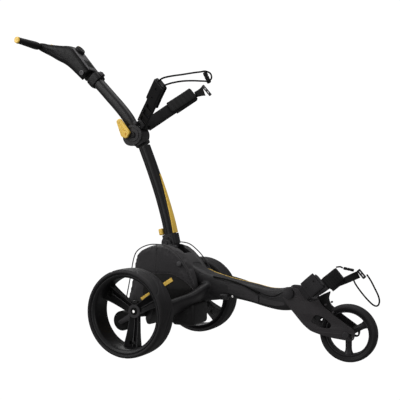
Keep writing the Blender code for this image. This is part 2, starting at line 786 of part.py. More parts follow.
def straps_and_cords():
    """Webbing ends, buckle bars, toggles and elastic cords that hold the bag in both cradles."""
    rows = [(0.1265, 0.2480, 0.008, 0.010), (0.1180, 0.2700, -0.006, 0.011), (0.1092, 0.2850, -0.0165, 0.0125)]
    webbing("upper_strap", "mast", MID_JOINT, rows)
    centre = on_bag(MID_JOINT, 0.1045, 0.2980, -0.0240)
    box("upper_buckle", BLACK_PLASTIC, "mast", centre, (0.010, 0.008, 0.046), across=BAG_OUT, up=BAG_AXIS)
    rod("bungee_toggle", SOFT_PLASTIC, "mast", (0.110, 0.078, 1.020), (0.129, 0.078, 0.980), 0.0065, 14)
    cord("upper_bungee", CORD, "mast", UPPER_BUNGEE, 0.0022, 32)
    rows = [(0.1165, 0.1020, -0.011, 0.011), (0.1040, 0.1270, -0.030, 0.012), (0.0925, 0.1500, -0.047, 0.0125)]
    webbing("lower_strap", "fork", CRADLE_FOOT, rows)
    centre = on_bag(CRADLE_FOOT, 0.0865, 0.1655, -0.0570)
    box("lower_buckle", BLACK_PLASTIC, "fork", centre, (0.010, 0.008, 0.032), across=BAG_OUT, up=BAG_AXIS)
    rod("lower_toggle", SOFT_PLASTIC, "fork", (0.642, 0.078, 0.2985), (0.677, 0.078, 0.2925), 0.0050, 14)
    cord("lower_bungee", CORD, "fork", LOWER_BUNGEE, 0.0022, 8)
    cord("lower_loop", CORD, "fork", LOWER_LOOP, 0.0028, 22)


# ---------------------------------------------------------------- mast
LOWER_TUBE = smooth(
    [
        (0.0100, 0, 0.4000, 0.0195, 0.0225),
        (-0.0050, 0, 0.4630, 0.0195, 0.0225),
        (-0.0330, 0, 0.5540, 0.0195, 0.0225),
        (-0.0670, 0, 0.6450, 0.0195, 0.0225),
        (-0.1035, 0, 0.7330, 0.0195, 0.0225),
    ],
    2,
)
UPPER_TUBE = [
    (-0.1370, 0, 0.7770, 0.0190, 0.0220),
    (-0.1570, 0, 0.8150, 0.0190, 0.0220),
    (-0.1800, 0, 0.8500, 0.0190, 0.0220),
    (-0.2160, 0, 0.8910, 0.0190, 0.0220),
    (-0.2570, 0, 0.9330, 0.0190, 0.0220),
    (-0.2980, 0, 0.9750, 0.0190, 0.0220),
    (-0.3330, 0, 1.0100, 0.0190, 0.0220),
]
CHEEK_IN = 0.0197
CHEEK_OUT = 0.030
JOINT_RADIUS = 0.038


def extended(stations, length):
    """The stations with both ends moved out along the path, for a cut that runs right through."""
    rows = [list(s) for s in stations]
    for end, near in ((0, 1), (-1, -2)):
        away = (Vector(rows[end][:3]) - Vector(rows[near][:3])).normalized() * length
        rows[end][:3] = [a + b for a, b in zip(rows[end][:3], away)]
    return rows


def mast():
    """The lower tube between its folding knuckle and the clevis of the mid joint."""
    tube = loft("lower_tube", GRAPHITE, "mast", LOWER_TUBE, power=2.3, count=16)
    cut(tube, loft("tube_bore", None, "mast", grown(extended(LOWER_TUBE, 0.01), -WALL), power=2.3, count=16))
    room = grown(LOWER_TUBE, GAP)
    x, z = MAST_PIVOT
    knuckle = rod("mast_knuckle", GRAPHITE, "mast", (x, -TONGUE_Y, z), (x, TONGUE_Y, z), 0.0265, 24)
    wide, high = 0.0230, 0.0285
    collar = [(0.0150, 0, 0.3780, wide, high), (0.0100, 0, 0.4000, wide, high), (0.0025, 0, 0.4320, wide, high)]
    union(knuckle, loft("collar", None, "mast", collar, power=3.5, count=12))
    tube_room = loft("tube_room", None, "mast", room, power=2.3, count=16)
    cut(knuckle, tube_room, bore(x, z, PIN_RADIUS - 0.001 + GAP, "mast"))
    rod("mast_pin", STEEL, "trolley", (x, -CHEEK_Y, z), (x, CHEEK_Y, z), PIN_RADIUS - 0.001, 18)

    insert = []
    top = 0.630
    for px, _, pz, _, _ in LOWER_TUBE:
        if 0.440 < pz < top:
            insert.append((px, pz, 0.0165 * (top - pz) / (top - 0.440) + 0.002))
    rows = [(x + 0.0215, 0, z + 0.006, width, 0.0035) for x, z, width in insert]
    strip = loft("tube_insert", YELLOW, "mast", rows, power=3, count=12)
    cut(strip, loft("strip_room", None, "mast", room, power=2.3, count=16))

    x, z = MID_JOINT
    clevis = rod("joint_housing", GRAPHITE, "mast", (x, -CHEEK_OUT, z), (x, CHEEK_OUT, z), JOINT_RADIUS, 28)
    neck = [
        (-0.1260, 0, 0.7700, 0.0295, 0.0290),
        (-0.1090, 0, 0.7430, 0.0270, 0.0290),
        (-0.0950, 0, 0.7120, 0.0240, 0.0270),
    ]
    union(clevis, loft("neck", None, "mast", neck, power=3, count=12))
    inner = JOINT_RADIUS - 0.0007
    cut(
        clevis,
        rod("tongue_room", None, "mast", (x, -CHEEK_IN, z), (x, CHEEK_IN, z), inner, 28),
        box("swing_room", None, "mast", (x - 0.048, 0, z + 0.010), (0.090, 2 * CHEEK_IN, 0.110)),
        box("upper_room", None, "mast", (x, 0, z + 0.040), (0.070, 2 * CHEEK_IN, 0.050)),
        loft("top_room", None, "mast", room, power=2.3, count=16),
        bore(x, z, PIN_RADIUS + GAP, "mast"),
    )
    rod("joint_pin", STEEL, "mast", (x, -0.0332, z), (x, 0.0332, z), PIN_RADIUS, 18)

    latch = box("mast_latch", YELLOW, "latch", (-0.0320, 0, 0.4180), (0.0120, 0.030, 0.034), soft=0.003)
    latch.rotation_euler = (0, radians(-13), 0)


def handle():
    """The upper tube with its round tongue, the clamp lever and the collar that carries the head."""
    tube = loft("upper_tube", GRAPHITE, "handle", UPPER_TUBE, power=2.3, count=16)
    x, z = MID_JOINT
    half = CHEEK_IN - 2 * GAP
    union(tube, rod("tongue", None, "handle", (x, -half, z), (x, half, z), 0.0362, 28))
    hollow = grown(extended(UPPER_TUBE[2:], 0.01), -WALL)
    tube_bore = loft("tube_bore", None, "handle", hollow, power=2.3, count=16)
    cut(tube, tube_bore, bore(x, z, PIN_RADIUS + GAP, "handle"))

    outline = [(-0.203, 0.832), (-0.187, 0.842), (-0.143, 0.787), (-0.158, 0.764), (-0.180, 0.771)]
    lever = rounded(outline, 0.007)
    bevel(plate("cam_lever", YELLOW, "lever", lever, LEVER_Y - 0.005, LEVER_Y + 0.005), 0.002)

    rows = []
    for along, out, half_height in ((0.277, 0.0045, 0.0285), (0.290, 0.0035, 0.0310), (0.312, 0.0020, 0.0310)):
        rows.append((*on_bag(MID_JOINT, 0, out, along), 0.0235, half_height))
    collar = loft("head_collar", BLACK_PLASTIC, "handle", rows, power=3, count=12)
    lug_half = 0.0100
    lug_path = [on_bag(MID_JOINT, 0, 0.000, 0.300), HEAD_PIVOT]
    lug = loft("lug", None, "handle", [(*p, lug_half, 0.0130) for p in lug_path], power=8, count=16)
    eye = rod("eye", None, "handle", HEAD_PIVOT - ACROSS * lug_half, HEAD_PIVOT + ACROSS * lug_half, 0.0130, 24)
    pocket_size = (0.0222, 0.0206, 0.0200)
    pocket_centre = on_bag(MID_JOINT, 0, 0.0290 + 0.0100, 0.2935)
    union(collar, lug, eye)
    cut(
        collar,
        loft("tube_room", None, "handle", grown(UPPER_TUBE, GAP), power=2.3, count=16),
        rod("eye_hole", None, "handle", HEAD_PIVOT - ACROSS * 0.05, HEAD_PIVOT + ACROSS * 0.05, 0.0053, 16),
        box("pocket", None, "handle", pocket_centre, pocket_size, across=-BAG_AXIS, up=BAG_OUT),
    )
    button_centre = ANGLE_SEAT + BAG_OUT * 0.0058
    size = (0.0210, 0.0194, 0.0110)
    box("angle_button", SOFT_PLASTIC, "angle", button_centre, size, across=-BAG_AXIS, up=BAG_OUT, soft=0.002)


# ---------------------------------------------------------------- handle head
HEAD = [
    (-0.5980, 0, 1.1600, 0.030, 0.009),
    (-0.5860, 0, 1.1570, 0.034, 0.0165),
    (-0.5505, 0, 1.1450, 0.036, 0.0195),
    (-0.5210, 0, 1.1350, 0.036, 0.0240),
    (-0.4890, 0, 1.1235, 0.036, 0.0300),
    (-0.4433, 0, 1.1080, 0.036, 0.0370),
    (-0.4138, 0, 1.0798, 0.035, 0.0345),
    (-0.3851, 0, 1.0504, 0.034, 0.0310),
    (-0.3620, 0, 1.0240, 0.032, 0.0270),
]
COVER_FLOOR = 0.0155
COVER_TOP = 0.0203
GRIP_START = 0.0380
CAP_THICK = 0.0055


def head():
    """The handle head: housing with its cross bar, sloping cover, grips, end caps and controls."""
    housing = loft("head_housing", BLACK_PLASTIC, "head", HEAD, power=3.2, count=16)
    bx, bz = BAR_CENTRE
    core = BAR_HALF_LENGTH - CAP_THICK - GAP
    bar = rod("bar", None, "head", (bx, -core, bz), (bx, core, bz), 0.0090, 20)
    union(housing, bar)
    slope_top = on_bag(MID_JOINT, 0, COVER_FLOOR + 0.05, 0.383)
    lug_slot = on_bag(MID_JOINT, 0, 0, 0.3235)
    slot_size = (0.080, 0.0206, 0.200)
    below = on_bag(MID_JOINT, 0, 0, 0.2800)
    eye_low, eye_high = HEAD_PIVOT - ACROSS * 0.06, HEAD_PIVOT + ACROSS * 0.06
    button_low, button_high = BUTTON_SEAT - BUTTON_OUT * 0.0035, BUTTON_SEAT + BUTTON_OUT * 0.02
    cut(
        housing,
        box("slope", None, "head", slope_top, (0.148, 0.10, 0.10), across=BAG_AXIS, up=BAG_OUT),
        box("lug_room", None, "head", lug_slot, slot_size, across=BAG_AXIS, up=BAG_OUT),
        box("end_room", None, "head", below, (0.100, 0.12, 0.200), across=BAG_AXIS, up=BAG_OUT),
        rod("bolt_hole", None, "head", eye_low, eye_high, 0.0053, 16),
        rod("button_room", None, "head", button_low, button_high, 0.0147, 20),
    )
    cover_centre = on_bag(MID_JOINT, 0, (COVER_FLOOR + COVER_TOP) / 2 + GAP / 2, 0.394)
    cover_size = (0.122, 0.060, COVER_TOP - COVER_FLOOR - GAP)
    box("head_cover", SOFT_PLASTIC, "head", cover_centre, cover_size, across=BAG_AXIS, up=BAG_OUT, soft=0.0012)

    bolt = [
        (0, -0.038),
        (0.0105, -0.038),
        (0.0105, -0.0343),
        (0.005, -0.0343),
        (0.005, 0.0343),
        (0.0105, 0.0343),
        (0.0105, 0.038),
        (0, 0.038),
    ]
    turned("head_bolt", STEEL, "handle", bolt, HEAD_PIVOT, steps=16)

    for label, sign in (("right", -1), ("left", 1)):
        grip = [
            (0.0093, GRIP_START),
            (0.0150, GRIP_START),
            (0.0158, 0.060),
            (0.0140, 0.110),
            (BAR_RADIUS, core),
            (0.0093, core),
        ]
        profile = [(r, sign * y) for r, y in grip]
        turned(f"grip_{label}", SOFT_PLASTIC, "head", profile, (bx, 0, bz), steps=20, ring=True)
        cap = [
            (0, core + GAP),
            (BAR_RADIUS, core + GAP),
            (BAR_RADIUS, BAR_HALF_LENGTH - 0.0015),
            (BAR_RADIUS - 0.0015, BAR_HALF_LENGTH),
            (0, BAR_HALF_LENGTH),
        ]
        profile = [(r, sign * y) for r, y in cap]
        turned(f"grip_cap_{label}", YELLOW, "head", profile, (bx, 0, bz), steps=20)

    dial = [
        (0, 0),
        (0.0190, 0),
        (0.0193, 0.0022),
        (0.0208, 0.005),
        (0.0195, 0.0115),
        (0.0180, 0.0125),
        (0, 0.0125),
    ]
    turned("speed_dial", SOFT_PLASTIC, "dial", dial, DIAL_SEAT, axis=BAG_OUT, steps=24)
    button = [(0, -0.0005), (0.0140, -0.0005), (0.0140, 0.0035), (0.0120, 0.0050), (0, 0.0055)]
    turned("power_button", YELLOW, "power", button, BUTTON_SEAT, axis=BUTTON_OUT, steps=20)


chassis_frame()
axle_and_motors()
electronics_and_tray()
battery()
anti_tip()
rear_wheel("right", -1, radians(28))
rear_wheel("left", 1, radians(-45))
fork()
front_wheel()
lower_cradle()
upper_cradle()
straps_and_cords()
mast()
handle()
head()
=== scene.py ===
"""Looks of an electric golf trolley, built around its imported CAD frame.

Lengths are metres. Unless a comment says otherwise, places are written from the ground point under the rear
axle's middle, with +X forward, +Y to the trolley's left and +Z up, and PLACE moves them into the frame.
"""

import json
from math import copysign, cos, hypot, pi, radians, sin

import bmesh
import bpy
from mathutils import Matrix, Vector


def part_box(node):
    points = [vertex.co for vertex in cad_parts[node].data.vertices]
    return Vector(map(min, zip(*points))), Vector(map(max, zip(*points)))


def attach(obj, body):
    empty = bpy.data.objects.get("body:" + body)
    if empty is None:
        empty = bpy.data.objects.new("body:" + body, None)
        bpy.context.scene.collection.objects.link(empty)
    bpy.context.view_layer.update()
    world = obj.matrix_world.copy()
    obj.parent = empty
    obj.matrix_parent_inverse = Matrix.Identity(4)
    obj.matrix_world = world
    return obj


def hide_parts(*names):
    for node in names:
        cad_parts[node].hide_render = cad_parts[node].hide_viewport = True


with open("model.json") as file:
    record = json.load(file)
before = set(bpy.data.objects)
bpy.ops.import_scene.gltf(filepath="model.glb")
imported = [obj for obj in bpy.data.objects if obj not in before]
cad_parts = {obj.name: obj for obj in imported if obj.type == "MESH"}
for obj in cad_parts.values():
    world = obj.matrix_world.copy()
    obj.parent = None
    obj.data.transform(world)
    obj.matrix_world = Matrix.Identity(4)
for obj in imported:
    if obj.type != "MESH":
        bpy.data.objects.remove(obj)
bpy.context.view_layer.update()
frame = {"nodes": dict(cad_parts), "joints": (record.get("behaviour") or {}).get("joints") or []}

# ---------------- places from the frame
joints = {joint["name"]: joint for joint in frame["joints"]}
right_axle = Vector(joints["right_wheel_spin"]["pos_m"])
PLACE = Vector((right_axle.x, 0, 0))


def pivot(name):
    """A joint's place, from the rear axle's ground point."""
    return Vector(joints[name]["pos_m"]) - PLACE


def corners(node):
    """A CAD node's lowest and highest corners, from the rear axle's ground point."""
    low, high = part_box(node)
    return low - PLACE, high - PLACE


WHEEL_RADIUS = right_axle.z
TRACK = -2 * right_axle.y
FRONT_AXLE = pivot("front_wheel_spin")
FRONT_RADIUS = FRONT_AXLE.z
ANTI_TIP_AXLE = pivot("anti_tip_wheel_spin")
FORK_PIVOT = pivot("fork_fold")
MAST_PIVOT = pivot("mast_fold")
MID_JOINT = pivot("handle_fold")
HEAD_PIVOT = pivot("head_tilt")
DIAL_SEAT = pivot("speed_dial_turn")
POWER_SEAT = pivot("power_button_press")
ANGLE_SEAT = pivot("angle_button_press")
BUTTON_OUT = -Vector(joints["power_button_press"]["axis"])

SIDES = ((-1, "right"), (1, "left"))
ACROSS = Vector((0, 1, 0))
FORWARD = Vector((1, 0, 0))
UP = Vector((0, 0, 1))
# A golf bag lies along BAG_AXIS, and both cradles open along BAG_OUT.
BAG_OUT = Vector(joints["speed_dial_turn"]["axis"])
BAG_AXIS = Vector((-BAG_OUT.z, 0, BAG_OUT.x))
CRADLE_FOOT = FORK_PIVOT + Vector((0.06, 0, -0.001))


# ---------------- materials
def surface(name, slot, colour, roughness, metallic=0.0, specular=0.35, coat=0.0, sheen=0.0):
    """A Principled material whose constant values sit on the shader's own sockets."""
    look = bpy.data.materials.new(name)
    look.use_nodes = True
    look["slot"] = slot
    shader = look.node_tree.nodes["Principled BSDF"]
    shader.inputs["Base Color"].default_value = (*colour, 1)
    shader.inputs["Roughness"].default_value = roughness
    shader.inputs["Metallic"].default_value = metallic
    shader.inputs["Specular IOR Level"].default_value = specular
    shader.inputs["Coat Weight"].default_value = coat
    shader.inputs["Coat Roughness"].default_value = 0.12
    shader.inputs["Sheen Weight"].default_value = sheen
    shader.inputs["Sheen Roughness"].default_value = 0.5
    return look


def node(look, kind, **values):
    """A new node with its settings and input values."""
    new = look.node_tree.nodes.new(kind)
    for key, value in values.items():
        if key in new.inputs:
            new.inputs[key].default_value = value
        else:
            setattr(new, key, value)
    return new


def link(look, source, target):
    look.node_tree.links.new(source, target)


def noise(look, scale, detail=2.0, roughness=0.5):
    """Noise over the piece's own coordinates, with features about 1/scale metres across."""
    place = node(look, "ShaderNodeTexCoord")
    texture = node(look, "ShaderNodeTexNoise", Scale=scale, Detail=detail, Roughness=roughness)
    link(look, place.outputs["Object"], texture.inputs["Vector"])
    return texture.outputs["Fac"]


def ramp(look, value, low, high, start=0.0, end=1.0):
    """A value or colour that runs from low to high as its input runs from start to end."""
    step = node(look, "ShaderNodeValToRGB")
    for stop, (position, colour) in zip(step.color_ramp.elements, ((start, low), (end, high))):
        stop.position = position
        stop.color = (*colour, 1) if isinstance(colour, tuple) else (colour, colour, colour, 1)
    link(look, value, step.inputs["Fac"])
    return step.outputs["Color"]


def shader_of(look):
    return look.node_tree.nodes["Principled BSDF"]


def mottle(look, colour, spread, scale, wear=0.0):
    """Slow changes of tone over the surface, and a paler rim along worn edges."""
    low = tuple(c * (1 - spread) for c in colour)
    high = tuple(c * (1 + spread) for c in colour)
    tone = ramp(look, noise(look, scale, 4), low, high, 0.3, 0.7)
    if wear:
        shape = node(look, "ShaderNodeNewGeometry")
        edge = ramp(look, shape.outputs["Pointiness"], 0.0, wear, 0.52, 0.6)
        mix = node(look, "ShaderNodeMix", data_type="RGBA")
        link(look, edge, mix.inputs["Factor"])
        link(look, tone, mix.inputs["A"])
        pale = tuple(min(1.0, c * 2.6 + 0.02) for c in colour)
        mix.inputs["B"].default_value = (*pale, 1)
        tone = mix.outputs["Result"]
    link(look, tone, shader_of(look).inputs["Base Color"])


def uneven(look, roughness, spread, scale):
    """Roughness that varies a little, as handling and moulding leave it."""
    value = ramp(look, noise(look, scale, 3), roughness - spread, roughness + spread, 0.25, 0.75)
    link(look, value, shader_of(look).inputs["Roughness"])


def bump(look, height, depth, strength=1.0):
    """Relief of the given depth in metres, laid over any that is already there."""
    relief = node(look, "ShaderNodeBump", Strength=strength, Distance=depth)
    link(look, height, relief.inputs["Height"])
    normal = shader_of(look).inputs["Normal"]
    if normal.is_linked:
        link(look, normal.links[0].from_socket, relief.inputs["Normal"])
    link(look, relief.outputs["Normal"], normal)


def weave(look, period, depth, directions=("X", "Z")):
    """Crossed threads a period apart, as relief."""
    place = node(look, "ShaderNodeTexCoord")
    bands = []
    for direction in directions:
        wave = node(
            look, "ShaderNodeTexWave", wave_type="BANDS", bands_direction=direction, Scale=0.314 / period
        )
        link(look, place.outputs["Object"], wave.inputs["Vector"])
        bands.append(wave.outputs["Fac"])
    cross = node(look, "ShaderNodeMath", operation="MULTIPLY" if len(bands) > 1 else "MAXIMUM")
    link(look, bands[0], cross.inputs[0])
    link(look, bands[-1], cross.inputs[1])
    bump(look, cross.outputs["Value"], depth)
    return cross.outputs["Value"]


def moulded(name, slot, colour, roughness, spread=0.12, wear=0.35, specular=0.3, grain=0.00005):
    """Moulded plastic: fine spark-eroded grain, slight mottling and rubbed edges."""
    look = surface(name, slot, colour, roughness, specular=specular)
    mottle(look, colour, spread, 22, wear)
    uneven(look, roughness, 0.07, 60)
    bump(look, noise(look, 1400, 2), grain)
    bump(look, noise(look, 60, 2), 0.00012, 0.4)
    return look


def casting_look():
    """The frame's satin graphite finish."""
    colour = (0.0125, 0.0115, 0.013)
    return moulded("frame_casting", "body_plastic", colour, 0.5, 0.2, 0.45, 0.32, 0.00005)


def anodised(name, colour, roughness):
    """Dark drawn aluminium: lengthwise streaks and a clear satin highlight."""
    look = surface(name, "graphite_metal", colour, roughness, specular=0.28)
    mottle(look, colour, 0.12, 30, 0.3)
    uneven(look, roughness, 0.05, 90)
    bump(look, noise(look, 900, 2), 0.00002)
    return look


def yellow_look(name="yellow_trim"):
    """The warm yellow of the lever, latch, inlays and caps."""
    colour = (0.9, 0.58, 0.085)
    look = surface(name, "yellow_plastic", colour, 0.36, specular=0.5)
    mottle(look, colour, 0.07, 40)
    uneven(look, 0.36, 0.06, 80)
    bump(look, noise(look, 1200, 2), 0.00003)
    return look


def tyre_look():
    """Dusty black tyre rubber with a fine moulded grain."""
    colour = (0.013, 0.012, 0.0132)
    look = surface("tyre_compound", "tyre_rubber", colour, 0.62, specular=0.3)
    mottle(look, colour, 0.22, 14, 0.25)
    uneven(look, 0.62, 0.08, 45)
    bump(look, noise(look, 700, 3), 0.00008)
    return look


def rubber_look(name, slot, colour, roughness):
    """Soft rubber with a matt skin."""
    look = surface(name, slot, colour, roughness, specular=0.22)
    mottle(look, colour, 0.18, 35, 0.3)
    bump(look, noise(look, 900, 2), 0.00006)
    return look


def fabric_look():
    """Coated woven nylon: crossed threads, a soft sheen and slight fading."""
    colour = (0.0215, 0.0195, 0.0215)
    look = surface("case_fabric", "bag_fabric", colour, 0.66, specular=0.3, sheen=0.16)
    mottle(look, colour, 0.18, 18, 0.15)
    weave(look, 0.0016, 0.00022)
    bump(look, noise(look, 45, 3), 0.0006, 0.5)
    return look


def webbing_look():
    """Tightly woven black strap."""
    colour = (0.008, 0.008, 0.0082)
    look = surface("strap_webbing", "webbing", colour, 0.8, specular=0.2, sheen=0.15)
    mottle(look, colour, 0.2, 60)
    weave(look, 0.0011, 0.00025, ("DIAGONAL", "Y"))
    return look


def braid_look():
    """The braided sleeve of an elastic cord, with small pale flecks."""
    colour = (0.004, 0.004, 0.0042)
    look = surface("cord_braid", "bungee_cord", colour, 0.8, specular=0.12)
    flecks = ramp(look, noise(look, 900, 1), colour, (0.016, 0.016, 0.017), 0.62, 0.72)
    link(look, flecks, shader_of(look).inputs["Base Color"])
    weave(look, 0.0009, 0.0002, ("DIAGONAL",))
    return look


def steel_look():
    """Zinc-bright steel of bolts and shafts."""
    colour = (0.62, 0.61, 0.6)
    look = surface("bright_steel", "steel", colour, 0.26, metallic=1.0)
    mottle(look, colour, 0.08, 90)
    uneven(look, 0.26, 0.08, 250)
    bump(look, noise(look, 1500, 2), 0.00001)
    return look


CASTING = casting_look()
HARD = moulded("hard_plastic", "black_plastic", (0.0048, 0.0045, 0.005), 0.5, wear=0.2, specular=0.2)
RIM = moulded("rim_plastic", "black_plastic", (0.006, 0.0056, 0.0064), 0.44, wear=0.3, specular=0.35)
SATIN = moulded("satin_plastic", "soft_plastic", (0.019, 0.0175, 0.0195), 0.5, wear=0.3, specular=0.3)
# Near-black, a little brown: painted shade for the lower part of the case's sides, which curve under into
# shadow.
CASE_SHADE = moulded("case_painted_shade", "bag_fabric", (0.005, 0.0044, 0.0042), 0.6, specular=0.2)
PALE = moulded("grey_plastic", "soft_plastic", (0.06, 0.058, 0.061), 0.5, specular=0.3)
DEEP = moulded("recess_black", "black_plastic", (0.003, 0.0029, 0.003), 0.65, wear=0.0, specular=0.15)
# A darker copy of the casting's plastic: painted shade for the tray, controller and gearboxes that sit
# underneath.
SHADED_BODY = moulded("body_plastic_painted_shade", "body_plastic", (0.008, 0.0074, 0.008), 0.5, specular=0.25)
TUBE = anodised("tube_metal", (0.0095, 0.009, 0.0097), 0.42)
PLATE = anodised("plate_metal", (0.029, 0.0258, 0.028), 0.5)
PANEL = moulded("side_panel_plastic", "body_plastic", (0.02, 0.0182, 0.02), 0.48, specular=0.3)
YELLOW = yellow_look()
TYRE = tyre_look()
PAD = rubber_look("pad_skin", "pad_rubber", (0.0065, 0.0062, 0.0065), 0.6)
GRIP = rubber_look("grip_skin", "soft_plastic", (0.0095, 0.009, 0.0095), 0.55)
FABRIC = fabric_look()
WEBBING = webbing_look()
BRAID = braid_look()
STEEL = steel_look()
MOTOR = surface("motor_case_metal", "motor_case", (0.2, 0.2, 0.205), 0.4, metallic=0.8)
mottle(MOTOR, (0.2, 0.2, 0.205), 0.1, 60)
PACK = moulded("battery_pack_case", "battery_case", (0.012, 0.012, 0.013), 0.5)


# ---------------- making and joining shapes
def add(name, mesh):
    """A new object at the frame's place."""
    obj = bpy.data.objects.new(name, mesh)
    bpy.context.scene.collection.objects.link(obj)
    obj.location = PLACE
    return obj


def from_shape(name, shape):
    """A new object from a finished bmesh, which is used up."""
    mesh = bpy.data.meshes.new(name)
    shape.to_mesh(mesh)
    shape.free()
    return add(name, mesh)


def settle(obj):
    """Turn an object's modifiers and placing into plain mesh."""
    bpy.context.view_layer.update()
    seen = obj.evaluated_get(bpy.context.evaluated_depsgraph_get())
    mesh = bpy.data.meshes.new_from_object(seen)
    mesh.transform(obj.matrix_world)
    obj.modifiers.clear()
    obj.data = mesh
    obj.matrix_world = Matrix.Identity(4)
    return obj


def boolean(target, tools, operation):
    """Join to or cut from a piece, using up the tools."""
    for tool in tools:
        step = target.modifiers.new(operation, "BOOLEAN")
        step.operation = operation
        step.object = tool
        step.solver = "EXACT"
    settle(target)
    for tool in tools:
        bpy.data.objects.remove(tool, do_unlink=True)
    return target


def cut(target, *tools):
    return boolean(target, tools, "DIFFERENCE")


def union(target, *tools):
    return boolean(target, tools, "UNION")


def bevel(obj, width, segments=2, angle=35):
    """Round the edges sharper than an angle."""
    step = obj.modifiers.new("Bevel", "BEVEL")
    step.width = width
    step.segments = segments
    step.limit_method = "ANGLE"
    step.angle_limit = radians(angle)
    step.harden_normals = False
    return settle(obj)


def remesh(obj, voxel, smoothing=4, factor=0.5):
    """One even skin over a rough union, with its joints blended as a casting's are."""
    step = obj.modifiers.new("Remesh", "REMESH")
    step.mode = "VOXEL"
    step.voxel_size = voxel
    soft = obj.modifiers.new("Smooth", "SMOOTH")
    soft.iterations = smoothing
    soft.factor = factor
    return settle(obj)


def show(obj, look, body, *nodes, crease=38):
    """Finish a piece: its material, shading, body and the CAD nodes that it stands for."""
    settle(obj)
    obj.data.materials.clear()
    obj.data.materials.append(look)
    obj.data.shade_smooth()
    obj.data.set_sharp_from_angle(angle=radians(crease))
    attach(obj, body)
    if nodes:
        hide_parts(*nodes)
    return obj


# ---------------- shapes
def smooth(knots, steps):
    """Points on a Catmull-Rom curve through knots with any number of components."""
    rows = [knots[0], *knots, knots[-1]]
    points = []
    for i in range(1, len(rows) - 2):
        for k in range(steps):
            t = k / steps
            points.append(
                tuple(
                    b + 0.5 * (
                        (c - a) * t + (2 * a - 5 * b + 4 * c - d) * t**2 + (3 * b - a - 3 * c + d) * t**3
                    )
                    for a, b, c, d in zip(*rows[i - 1 : i + 3])
                )
            )
    points.append(tuple(knots[-1]))
    return points


def rounded(outline, radius, steps=5):
    """A closed outline with each corner replaced by a curve that starts radius away from it."""
    points = []
    for i, corner in enumerate(outline):
        here = Vector(corner)
        before = Vector(outline[i - 1]) - here
        after = Vector(outline[(i + 1) % len(outline)]) - here
        start = here + before.normalized() * min(radius, before.length * 0.45)
        end = here + after.normalized() * min(radius, after.length * 0.45)
        for k in range(steps + 1):
            t = k / steps
            points.append(tuple((1 - t) ** 2 * start + 2 * t * (1 - t) * here + t**2 * end))
    return points


def circle(x, z, radius, count=40):
    return [
        (x + radius * cos(2 * pi * i / count), z + radius * sin(2 * pi * i / count)) for i in range(count)
    ]


def section(count, power):
    """A unit superellipse: power 2 is round, and 5 is a box with soft corners."""
    points = []
    for i in range(count):
        angle = 2 * pi * (i + 0.5) / count
        c, s = cos(angle), sin(angle)
        points.append((copysign(abs(c) ** (2 / power), c), copysign(abs(s) ** (2 / power), s)))
    return points


def loft(name, stations, side=ACROSS, power=2.5, count=32, unit=None):
    """A closed skin through sections on a path.

    A station is (x, y, z, half width along side, half height square to side and path).
    """
    path = [Vector(s[:3]) for s in stations]
    unit = unit or section(count, power)
    count = len(unit)
    shape = bmesh.new()
    rings = []
    for i, (point, station) in enumerate(zip(path, stations)):
        along = (path[min(i + 1, len(path) - 1)] - path[max(i - 1, 0)]).normalized()
        wide = (side - side.dot(along) * along).normalized()
        high = along.cross(wide)
        ring = [shape.verts.new(point + wide * (u * station[3]) + high * (v * station[4])) for u, v in unit]
        rings.append(ring)
    for first, second in zip(rings, rings[1:]):
        for k in range(count):
            shape.faces.new((first[k], first[(k + 1) % count], second[(k + 1) % count], second[k]))
    shape.faces.new(rings[0])
    shape.faces.new(rings[-1])
    bmesh.ops.recalc_face_normals(shape, faces=shape.faces)
    return from_shape(name, shape)


def grown(stations, amount):
    """The same stations with a larger section."""
    return [(x, y, z, a + amount, b + amount) for x, y, z, a, b in stations]


def as_mesh(curve):
    """A curve's shape as a welded mesh."""
    guide = bpy.data.objects.new(curve.name, curve)
    bpy.context.scene.collection.objects.link(guide)
    bpy.context.view_layer.update()
    mesh = bpy.data.meshes.new_from_object(guide.evaluated_get(bpy.context.evaluated_depsgraph_get()))
    bpy.data.objects.remove(guide, do_unlink=True)
    shape = bmesh.new()
    shape.from_mesh(mesh)
    bmesh.ops.remove_doubles(shape, verts=shape.verts, dist=0.00001)
    bmesh.ops.recalc_face_normals(shape, faces=shape.faces)
    shape.to_mesh(mesh)
    shape.free()
    return mesh


def plate(name, outline, low_y, high_y, holes=()):
    """A flat sheet in an XZ plane between two Y values, from an outline and holes of (x, z) points."""
    curve = bpy.data.curves.new(name, "CURVE")
    curve.dimensions = "2D"
    curve.fill_mode = "BOTH"
    curve.extrude = (high_y - low_y) / 2
    for loop in (outline, *holes):
        spline = curve.splines.new("POLY")
        spline.points.add(len(loop) - 1)
        for point, (x, z) in zip(spline.points, loop):
            point.co = (x, z, 0, 1)
        spline.use_cyclic_u = True
    obj = add(name, as_mesh(curve))
    obj.rotation_euler = (pi / 2, 0, 0)
    obj.location = obj.location + ACROSS * ((low_y + high_y) / 2)
    return obj


def round_curve(name, points, radius, resolution):
    """A round cord's curve through points, with closed ends."""
    curve = bpy.data.curves.new(name, "CURVE")
    curve.dimensions = "3D"
    curve.bevel_depth = radius
    curve.bevel_resolution = resolution
    curve.use_fill_caps = True
    spline = curve.splines.new("POLY")
    spline.points.add(len(points) - 1)
    for point, place in zip(spline.points, points):
        point.co = (*place, 1)
    return curve


def tube(name, route, radius, steps=6, resolution=3):
    """A round cord or groove tool along a smooth curve through the route."""
    points = smooth([tuple(p) for p in route], steps)
    return add(name, as_mesh(round_curve(name, points, radius, resolution)))


def placed(obj, centre, across, up):
    """Stand a piece at a place with its local X and Z along two directions."""
    across, up = Vector(across).normalized(), Vector(up).normalized()
    turn = Matrix((across, up.cross(across), up)).transposed()
    obj.matrix_world = Matrix.Translation(PLACE + Vector(centre)) @ turn.to_4x4()
    return obj


